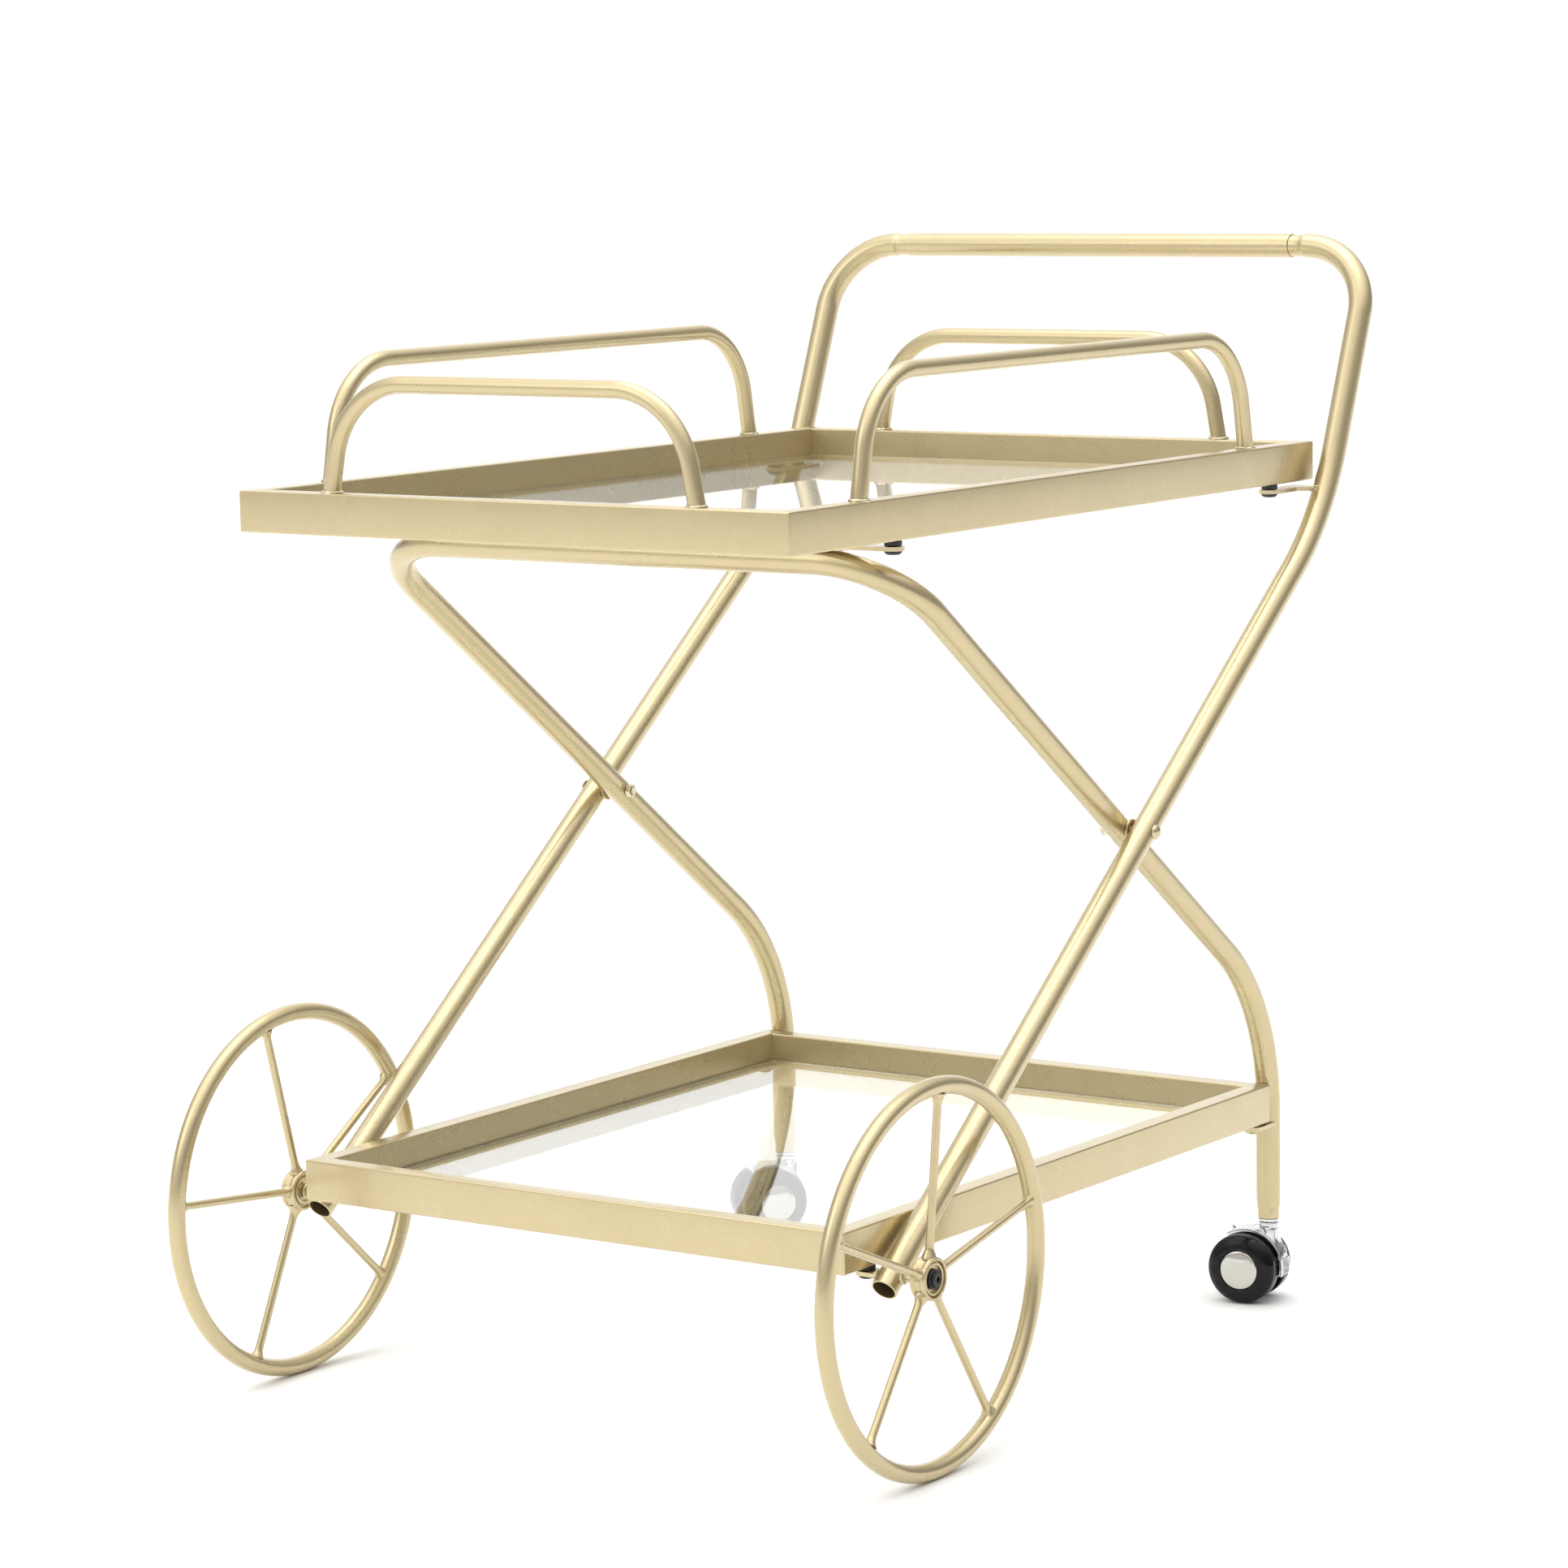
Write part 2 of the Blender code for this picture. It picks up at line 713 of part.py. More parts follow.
def make_axle(word, side):
    """The shouldered axle from the handle frame's foot, and its black nut."""
    foot = on_side(AXLE, side, HANDLE_Y)
    out = Vector((0, side, 0))
    shoulder = HUB_INNER - GAP - HANDLE_Y
    end = HUB_INNER + HUB_LENGTH + 0.0010 - HANDLE_Y
    profile = [
        (0, end),
        (AXLE_R - 0.0006, end),
        (AXLE_R, end - 0.0006),
        (AXLE_R, shoulder),
        (COLLAR_R - 0.0005, shoulder),
        (COLLAR_R, shoulder - 0.0005),
        (COLLAR_R, TUBE_R * 0.5),
        (0, TUBE_R * 0.5),
    ]
    stub = turned("axle_" + word, profile, GOLD, along(out, foot), 20)
    cut(stub, HANDLE_SADDLES[side])
    seat = HUB_INNER + HUB_LENGTH - 0.0040 + GAP
    bore = AXLE_R + GAP
    nut = [
        (bore, 0.0055),
        (0.0052, 0.0055),
        (0.0056, 0.0051),
        (0.0058, 0.0036),
        (0.0072, 0.0033),
        (0.0076, 0.0028),
        (0.0076, 0.0004),
        (0.0072, 0),
        (bore, 0),
    ]
    matrix = along(out, on_side(AXLE, side, seat))
    turned("axle_nut_" + word, nut, BLACK, matrix, 16, closed=True)


# Casters


def web_outline():
    """The hood between the wheels, seen along their axle.

    The stem is at the origin and the wheels trail towards +X.
    """
    r = CASTER_WHEEL_R + FENDER_RISE
    mid = CASTER_WHEEL_R
    top = CASTER_HEIGHT - 0.0085
    half = 0.0075
    front = circle(5, 100, -42, False)
    back = circle(7, 192, -50, False)
    outline = [(-half, top), (half, top)]
    outline += [(CASTER_TRAIL + r * c, mid + r * s) for c, s in front]
    outline += [
        (CASTER_TRAIL + 0.010, mid + 0.008),
        (CASTER_TRAIL + 0.007, mid - 0.007),
        (CASTER_TRAIL - 0.004, mid - 0.0095),
    ]
    outline += [(CASTER_TRAIL + r * c, mid + r * s) for c, s in back]
    return outline


def make_caster_body(word, swivel):
    """The chrome hood with its stem, one casting."""
    turn = Matrix.Rotation(math.pi / 2, 4, "X")
    pin = CASTER_TRAIL, CASTER_WHEEL_R, 0.0030 + GAP
    name = "caster_body_" + word
    body = flat_plate(name, web_outline(), [pin], CASTER_WEB, turn, CHROME, swivel)
    round_edges(body, 0.0012, 2, 50)
    top = CASTER_HEIGHT - GAP
    profile = [
        (0, top + STEM_LENGTH),
        (STEM_R - 0.0008, top + STEM_LENGTH),
        (STEM_R, top + STEM_LENGTH - 0.0008),
        (STEM_R, top - 0.0030),
        (0.0072, top - 0.0030),
        (0.0078, top - 0.0036),
        (0.0078, top - 0.0060),
        (0.0070, top - 0.0066),
        (0.0070, top - 0.0150),
        (0, top - 0.0150),
    ]
    stem = turned(name + " stem", profile, CHROME, Matrix(), 24, swivel)
    join_to(body, as_cutter(stem))


def make_socket(word, foot):
    """The sleeve in a leg's end that the caster's stem turns in."""
    bore = STEM_R + RUNNING
    inner = TUBE_R * 0.90 - TUBE_WALL - GAP
    low = -0.0027
    high = STEM_LENGTH + 0.004
    profile = [
        (bore, high),
        (inner, high),
        (inner, -GAP),
        (0.0081, -GAP),
        (0.0081, low + 0.0005),
        (0.0076, low),
        (bore, low),
    ]
    matrix = Matrix.Translation(foot)
    turned("caster_socket_" + word, profile, CHROME, matrix, 20, closed=True)


def wheel_section():
    """A caster wheel's section: flat inside, tread, domed outside with a seat."""
    r = CASTER_WHEEL_R
    w = CASTER_WHEEL_WIDTH
    bore = 0.0030 + RUNNING
    dome = [
        (CAP_R + GAP + (r - CAP_R - GAP) * s, w * 0.54 + (w * 0.46) * c)
        for s, c in ((math.sin(a), math.cos(a)) for a in (0.35, 0.75, 1.15))
    ]
    return [
        (bore, w * 0.80),
        (CAP_R + GAP, w * 0.80),
        (CAP_R + GAP, w),
        *dome,
        (r, w * 0.54),
        (r, 0.0012),
        (r - 0.0012, 0),
        (bore, 0),
    ]


def cap_section():
    """The shallow chrome dome in a caster wheel's outer face."""
    w = CASTER_WHEEL_WIDTH
    seat = w * 0.80 + GAP
    high = w + 0.0012
    profile = [(0, high)]
    profile += [(CAP_R * k, high - 0.0016 * k * k) for k in (0.5, 0.8)]
    profile += [(CAP_R, high - 0.0020), (CAP_R, seat), (0, seat)]
    return profile


def make_caster(word, side, swivel_angle):
    """A twin-wheel caster under one leg, turned about its stem."""
    foot = on_side(LEG_END, side, CASTER_Y)
    floor = on_side(Vector((LEG_STATION, 0, 0)), side, CASTER_Y)
    turn = Matrix.Rotation(math.radians(swivel_angle), 4, "Z")
    swivel = add_empty("swivel_line_" + word, Matrix.Translation(floor) @ turn)
    make_socket(word, foot)
    make_caster_body(word, swivel)
    hub = Vector((CASTER_TRAIL, 0, CASTER_WHEEL_R))
    inner = CASTER_WEB / 2 + 0.001
    half = inner + CASTER_WHEEL_WIDTH * 0.80 - GAP
    pin = [(0, half), (0.0030, half), (0.0030, -half), (0, -half)]
    turned("caster_axle_" + word, pin, CHROME, along((0, 1, 0), hub), 24, swivel)
    for letter, way in (("a", 1), ("b", -1)):
        seat = along((0, way, 0), hub + Vector((0, way * inner, 0)))
        name = f"caster_wheel_{word}_{letter}"
        turned(name, wheel_section(), BLACK, seat, 24, swivel, closed=True)
        name = f"caster_cap_{word}_{letter}"
        turned(name, cap_section(), CHROME, seat, 20, swivel)


# Assembly


def saddle(name, a, b, side, offset):
    """A cutter round a tube's straight run, so that a joint fits it closely."""
    return rod(name, TUBE_R + GAP, on_side(a, side, offset), on_side(b, side, offset), 48)


def knee_saddle(side):
    """A cutter round the handle frame where it passes the top tray's underside."""
    path, _ = handle_path(side)
    level = TRAY_BOTTOM - TAB_DROP + TAB_THICKNESS / 2
    crossing = [p for p in zip(path, path[1:]) if p[0].z <= level < p[1].z][0]
    low, high = crossing
    reach = high - low
    name = f"knee saddle {side}"
    mesh = swept(name, path[:-3], TUBE_R + GAP, 6)
    cutter = as_cutter(add_object(name, mesh, GOLD))

    def station(z):
        return low.x + reach.x * (z - low.z) / reach.z + CENTRE

    return cutter, station


PARTS, CUTTERS = clear_scene()
GOLD = make_material("Champagne painted steel", (0.66, 0.52, 0.30), 0.30, 0.75)
CHROME = make_material("Chrome", (0.80, 0.80, 0.81), 0.08, 1.0)
BLACK = make_material("Black plastic", (0.012, 0.012, 0.012), 0.35, 0.0)
GLASS = make_material("Clear glass", (0.94, 0.97, 0.96), 0.02, 0.0, 1.0)
SIDES = (-1, 1)
BELOW_AXLE = AXLE * 2 - KNEE
HANDLE_SADDLES = {
    s: saddle(f"handle saddle {s}", BELOW_AXLE, KNEE, s, HANDLE_Y) for s in SIDES
}
LEG_SADDLES = {s: saddle(f"leg saddle {s}", LEG_END, ELBOW, s, CASTER_Y) for s in SIDES}
KNEE_SADDLES = {s: knee_saddle(s) for s in SIDES}


def build():
    """Make every part of the trolley."""
    hole = PIVOT_R + GAP
    drills = {
        s: drill_across(f"pivot drill {s}", PIVOT, s, hole, CASTER_Y - 0.03, HANDLE_Y + 0.03)
        for s in SIDES
    }
    for word, side in (("near", -1), ("far", 1)):
        make_handle_side("handle_side_" + word, side, [drills[side]])
    make_handle_bar()
    make_caster_frame([drills[-1], drills[1]])
    make_tray("top_tray_frame", 0.0, TRAY_LENGTH, TRAY_TOP)
    make_tray("lower_tray_frame", LOWER_SETBACK, LOWER_LENGTH, LOWER_TOP)
    make_glass("top_glass", 0.0, TRAY_LENGTH, TRAY_TOP)
    make_glass("lower_glass", LOWER_SETBACK, LOWER_LENGTH, LOWER_TOP)
    make_guards()
    make_brackets()
    turns = (
        ("near", -1, NEAR_SWIVEL, NEAR_FIRST_SPOKE),
        ("far", 1, FAR_SWIVEL, FAR_FIRST_SPOKE),
    )
    for word, side, angle, first_spoke in turns:
        make_pivot(word, side)
        make_wheel(word, side, first_spoke)
        make_axle(word, side)
        make_caster(word, side, angle)


build()
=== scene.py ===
"""A two-tier bar cart: champagne-painted tube, glass trays, spoked wheels, casters.

+X is the rear (handle and casters), -X the front (spoked wheels) and +Z is up.
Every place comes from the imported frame, in metres.
"""

import json
import logging
import math
from collections.abc import Callable, Sequence
from dataclasses import dataclass
from enum import Enum

import bmesh
import bpy
from mathutils import Matrix, Vector, noise


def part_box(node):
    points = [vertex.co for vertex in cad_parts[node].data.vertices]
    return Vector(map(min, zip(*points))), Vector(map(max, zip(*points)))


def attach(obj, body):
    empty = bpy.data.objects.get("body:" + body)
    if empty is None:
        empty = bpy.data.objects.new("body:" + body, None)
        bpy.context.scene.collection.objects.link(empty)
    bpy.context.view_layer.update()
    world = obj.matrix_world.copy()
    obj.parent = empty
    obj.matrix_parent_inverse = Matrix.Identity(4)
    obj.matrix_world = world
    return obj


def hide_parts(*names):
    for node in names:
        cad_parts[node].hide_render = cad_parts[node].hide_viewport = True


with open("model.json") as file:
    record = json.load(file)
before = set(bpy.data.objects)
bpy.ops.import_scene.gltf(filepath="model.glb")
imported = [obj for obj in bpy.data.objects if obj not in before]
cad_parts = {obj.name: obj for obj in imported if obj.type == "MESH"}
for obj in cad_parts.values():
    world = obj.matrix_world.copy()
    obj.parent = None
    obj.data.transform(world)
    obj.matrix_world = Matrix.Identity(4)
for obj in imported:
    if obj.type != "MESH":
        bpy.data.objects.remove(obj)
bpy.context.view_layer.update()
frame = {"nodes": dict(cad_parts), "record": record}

LOG = logging.getLogger("bar_cart")
MM = 0.001
MARK_DUST = 0.35
MARK_SCUFF = 0.22
LAMP_AIM_HEIGHT = 0.42
UP = Vector((0.0, 0.0, 1.0))

Ring = list[Vector]
Profile = list[tuple[float, float]]


# ---------------------------------------------------------------- choices


class Side(Enum):
    """The two sides of the cart, by the sign of Y."""

    NEAR = -1
    FAR = 1

    @property
    def word(self) -> str:
        """The side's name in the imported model."""
        return self.name.lower()

    @property
    def out(self) -> Vector:
        """The direction that points away from the cart's middle."""
        return Vector((0.0, float(self.value), 0.0))


class Finish(Enum):
    """The finishes on the cart: the record's slot of each, and its kind there."""

    PAINT = ("champagne_paint", "tube and sheet")
    WELD = ("champagne_paint", "weld")
    BORE = ("champagne_paint", "tube bore")
    CHROME = ("chrome", "casting")
    PLATE = ("chrome", "cover plate")
    GLOSS_BLACK = ("black_plastic", "roller")
    SATIN_BLACK = ("black_plastic", "grommet")
    GLASS = ("clear_glass", "pane")

    @property
    def slot(self) -> str:
        """The record's material slot."""
        return self.value[0]


# ---------------------------------------------------------------- shapes


def along(axis: Vector, origin: Vector) -> Matrix:
    """The matrix whose Z runs along an axis from an origin.

    Args:
        axis: the direction for Z.
        origin: where the new origin stands.

    Returns:
        A matrix from the piece's own space to the cart's.
    """
    turn = UP.rotation_difference(axis.normalized())
    return Matrix.Translation(origin) @ turn.to_matrix().to_4x4()


def bent_path(corners: Sequence[Vector], radii: Sequence[float], step: float = 3.0) -> Ring:
    """A path through corners, each rounded to its bend radius.

    Args:
        corners: the path's ends and the corners between them.
        radii: one bend radius for each inner corner.
        step: the turn between two points of a bend, in degrees.

    Returns:
        The path's points.
    """
    path = [corners[0].copy()]
    for before, corner, after, radius in zip(corners, corners[1:], corners[2:], radii):
        into = (corner - before).normalized()
        out = (after - corner).normalized()
        turn = into.angle(out)
        tangent = radius * math.tan(turn / 2)
        axis = into.cross(out).normalized()
        centre = corner - into * tangent + axis.cross(into) * radius
        start = corner - into * tangent - centre
        count = max(2, math.ceil(math.degrees(turn) / step))
        for i in range(count + 1):
            path.append(centre + Matrix.Rotation(turn * i / count, 3, axis) @ start)
    path.append(corners[-1].copy())
    return path


def spaced(path: Sequence[Vector], spacing: float) -> Ring:
    """The same path with its long straight runs split, so that it shades evenly.

    Args:
        path: the points to keep.
        spacing: the longest step that is left.

    Returns:
        The path with points added.
    """
    points = [path[0]]
    for a, b in zip(path, path[1:]):
        count = max(1, math.ceil((b - a).length / spacing))
        points.extend(a.lerp(b, i / count) for i in range(1, count + 1))
    return points


def sweep(
    path: Sequence[Vector],
    radius: float,
    sides: int = 28,
    scales: Sequence[float] | None = None,
    closed: bool = False,
    dent: Callable[[int, float], float] | None = None,
) -> list[Ring]:
    """Rings round a path that turns without twisting.

    Args:
        path: the centre line.
        radius: the tube's outer radius.
        sides: the number of points in a ring.
        scales: a factor on the radius at each point.
        closed: True where the path's end meets its start.
        dent: a factor on the radius from the point's index and the angle.

    Returns:
        One ring of points for each point of the path.
    """
    count = len(path)
    tangents = []
    for i in range(count):
        ahead = path[(i + 1) % count] if closed else path[min(i + 1, count - 1)]
        behind = path[i - 1] if closed else path[max(i - 1, 0)]
        tangents.append((ahead - behind).normalized())
    normal = tangents[0].orthogonal().normalized()
    rings = []
    for i, (point, tangent) in enumerate(zip(path, tangents)):
        if i:
            normal = tangents[i - 1].rotation_difference(tangent) @ normal
        across = tangent.cross(normal)
        size = radius * (scales[i] if scales else 1.0)
        ring = []
        for j in range(sides):
            angle = 2 * math.pi * j / sides
            reach = size * (dent(i, angle) if dent else 1.0)
            ring.append(point + (normal * math.cos(angle) + across * math.sin(angle)) * reach)
        rings.append(ring)
    return rings


def skin(
    rings: Sequence[Ring],
    closed: bool = False,
    caps: bool = False,
    inner_from: int | None = None,
) -> bmesh.types.BMesh:
    """A surface through rings of equal length.

    Args:
        rings: the rings, in order.
        closed: True where the last ring joins the first.
        caps: True to close both ends with a face.
        inner_from: the ring from which faces take the second material.

    Returns:
        The surface, with its normals out.
    """
    shape = bmesh.new()
    rows = [[shape.verts.new(point) for point in ring] for ring in rings]
    pairs = list(zip(rows, rows[1:]))
    if closed:
        pairs.append((rows[-1], rows[0]))
    for i, (a, b) in enumerate(pairs):
        for j in range(len(a)):
            k = (j + 1) % len(a)
            face = shape.faces.new((a[j], a[k], b[k], b[j]))
            if inner_from is not None and i >= inner_from and i < len(pairs) - 1:
                face.material_index = 1
    if caps:
        shape.faces.new(rows[0][::-1])
        shape.faces.new(rows[-1])
    bmesh.ops.remove_doubles(shape, verts=shape.verts, dist=1e-7)
    bmesh.ops.dissolve_degenerate(shape, dist=1e-7, edges=shape.edges)
    bmesh.ops.recalc_face_normals(shape, faces=shape.faces)
    return shape


def softened(profile: Profile, radius: float, steps: int = 3, closed: bool = False) -> Profile:
    """A profile with its corners rounded.

    Args:
        profile: the corner points.
        radius: how far from a corner its round starts.
        steps: the segments in each round.
        closed: True where the profile's end meets its start.

    Returns:
        The rounded profile.
    """
    points = [Vector(p) for p in profile]
    count = len(points)
    made: Profile = []
    for i, corner in enumerate(points):
        if not closed and i in (0, count - 1):
            made.append(tuple(corner))
            continue
        before = points[i - 1] - corner
        after = points[(i + 1) % count] - corner
        reach = min(radius, before.length * 0.45, after.length * 0.45)
        a = corner + before.normalized() * reach
        b = corner + after.normalized() * reach
        for k in range(steps + 1):
            t = k / steps
            made.append(tuple(a * (1 - t) ** 2 + corner * 2 * t * (1 - t) + b * t**2))
    return made


def turned(
    profile: Profile, place: Matrix, steps: int = 48, closed: bool = False
) -> bmesh.types.BMesh:
    """A solid of revolution about Z.

    Args:
        profile: (radius, height) points; an open profile starts and ends on the axis.
        place: where the piece stands.
        steps: the number of segments round.
        closed: True for a ring, whose profile meets its own start.

    Returns:
        The turned shape.
    """
    rings = []
    for radius, height in profile:
        angles = (2 * math.pi * k / steps for k in range(steps))
        ring = [Vector((radius * math.cos(a), radius * math.sin(a), height)) for a in angles]
        rings.append([place @ point for point in ring])
    return skin(rings, closed=closed)


def rounded_box_loop(low: Vector, high: Vector, inset: float, corner: float) -> Ring:
    """A rectangle's outline at height 0, moved in by inset, with rounded corners.

    Args:
        low: the lowest corner.
        high: the highest corner.
        inset: how far in from the outline.
        corner: the radius of the outline's own corners.

    Returns:
        The loop's points.
    """
    radius = max(corner - inset, 0.0)
    reach = max(inset, corner)
    loop = []
    steps = 5
    centres = (
        (high.x - reach, high.y - reach, 0),
        (low.x + reach, high.y - reach, 90),
        (low.x + reach, low.y + reach, 180),
        (high.x - reach, low.y + reach, 270),
    )
    for x, y, start in centres:
        for k in range(steps + 1):
            angle = math.radians(start + 90 * k / steps)
            loop.append(Vector((x + radius * math.cos(angle), y + radius * math.sin(angle), 0)))
    return loop


def plate(outline: Profile, thickness: float, edge: float, place: Matrix) -> bmesh.types.BMesh:
    """A plate with rounded edges, from an outline in the XZ plane.

    Args:
        outline: (x, z) points.
        thickness: the size along Y, centred on y = 0.
        edge: the radius of the round along both outlines.
        place: where the plate stands.

    Returns:
        The plate's shape.
    """
    shape = bmesh.new()
    half = thickness / 2
    start = shape.faces.new([shape.verts.new((x, -half, z)) for x, z in outline])
    grown = bmesh.ops.extrude_face_region(shape, geom=[start])
    moved = [v for v in grown["geom"] if isinstance(v, bmesh.types.BMVert)]
    bmesh.ops.translate(shape, verts=moved, vec=(0.0, thickness, 0.0))
    bmesh.ops.recalc_face_normals(shape, faces=shape.faces)
    shape.normal_update()
    rims = [e for e in shape.edges if abs(e.verts[0].co.y - e.verts[1].co.y) < 1e-9]
    bmesh.ops.bevel(shape, geom=rims, offset=edge, segments=3, affect="EDGES", profile=0.5)
    shape.transform(place)
    return shape


def merged(*shapes: bmesh.types.BMesh) -> bmesh.types.BMesh:
    """Several shapes in one mesh, each still a closed surface of its own."""
    whole = shapes[0]
    for other in shapes[1:]:
        mesh = bpy.data.meshes.new("merge")
        other.to_mesh(mesh)
        other.free()
        whole.from_mesh(mesh)
        bpy.data.meshes.remove(mesh)
    return whole


def lumpy(seed: float, depth: float, size: float) -> Callable[[Vector], float]:
    """A factor about 1 that changes smoothly over space, for a weld's ripples.

    Args:
        seed: moves the pattern.
        depth: the greatest change.
        size: the length of one lump, in metres.

    Returns:
        A function from a point to the factor there.
    """

    def factor(point: Vector) -> float:
        """The factor at a point."""
        return 1.0 + depth * noise.noise(point / size + Vector((seed, seed * 1.7, seed * 2.3)))

    return factor


def weld_ring(centre: Vector, axis: Vector, radius: float, size: float, seed: float) -> bmesh.types.BMesh:
    """A weld bead laid round a tube's foot.

    Args:
        centre: the middle of the ring.
        axis: the tube's direction.
        radius: the radius of the bead's centre line.
        size: the bead's own radius.
        seed: changes its ripples.

    Returns:
        The bead's shape.
    """
    place = along(axis, centre)
    ripple = lumpy(seed, 0.55, 2.6 * MM)
    steps = 44
    path = []
    for i in range(steps):
        angle = 2 * math.pi * i / steps
        path.append(place @ Vector((radius * math.cos(angle), radius * math.sin(angle), 0)))
    scales = [ripple(point) for point in path]
    return skin(sweep(path, size, 10, scales, closed=True), closed=True)


def weld_line(start: Vector, end: Vector, size: float, seed: float) -> bmesh.types.BMesh:
    """A short weld bead from one point to another, thin at both ends.

    Args:
        start: where the bead starts.
        end: where it ends.
        size: its radius in the middle.
        seed: changes its ripples.

    Returns:
        The bead's shape.
    """
    steps = 14
    ripple = lumpy(seed, 0.5, 2.2 * MM)
    path = [start.lerp(end, i / steps) for i in range(steps + 1)]
    scales = []
    for i, point in enumerate(path):
        swell = math.sin(math.pi * (0.06 + 0.88 * i / steps)) ** 0.5
        scales.append(swell * ripple(point))
    return skin(sweep(path, size, 10, scales), caps=True)


# ---------------------------------------------------------------- finishes


class Wiring:
    """A node tree with short ways to add, set and join nodes."""

    def __init__(self, tree: bpy.types.NodeTree) -> None:
        """Keep the tree and start at its left edge."""
        self.tree = tree
        self.column = 0

    def add(self, kind: str, **settings: object) -> bpy.types.Node:
        """A new node.

        Args:
            kind: Blender's name for the node.
            settings: properties of the node, or values for its inputs by name.

        Returns:
            The node.
        """
        node = self.tree.nodes.new(kind)
        node.location = (self.column * 190.0, 0.0)
        self.column += 1
        for name, value in settings.items():
            label = name.replace("_", " ")
            if hasattr(node, name):
                setattr(node, name, value)
            elif isinstance(value, bpy.types.NodeSocket):
                self.tree.links.new(value, node.inputs[label])
            else:
                node.inputs[label].default_value = value
        return node

    def join(self, source: bpy.types.NodeSocket, target: bpy.types.NodeSocket) -> None:
        """Link two sockets."""
        self.tree.links.new(source, target)

    def maths(self, operation: str, *values: object) -> bpy.types.NodeSocket:
        """The result of one operation on numbers or sockets."""
        node = self.add("ShaderNodeMath", operation=operation)
        for socket, value in zip(node.inputs, values):
            if isinstance(value, bpy.types.NodeSocket):
                self.join(value, socket)
            else:
                socket.default_value = value
        return node.outputs[0]

    def spread(self, value: object, low: float, high: float, to_low: float, to_high: float) -> object:
        """A value carried from one range to another, and held inside it."""
        node = self.add("ShaderNodeMapRange", From_Min=low, From_Max=high, To_Min=to_low, To_Max=to_high)
        self.join(value, node.inputs["Value"])
        return node.outputs["Result"]

    def mixed(self, factor: object, a: object, b: object) -> bpy.types.NodeSocket:
        """A colour between two colours."""
        node = self.add("ShaderNodeMix", data_type="RGBA")
        for index, value in ((0, factor), (6, a), (7, b)):
            if isinstance(value, bpy.types.NodeSocket):
                self.join(value, node.inputs[index])
            else:
                node.inputs[index].default_value = value
        return node.outputs[2]


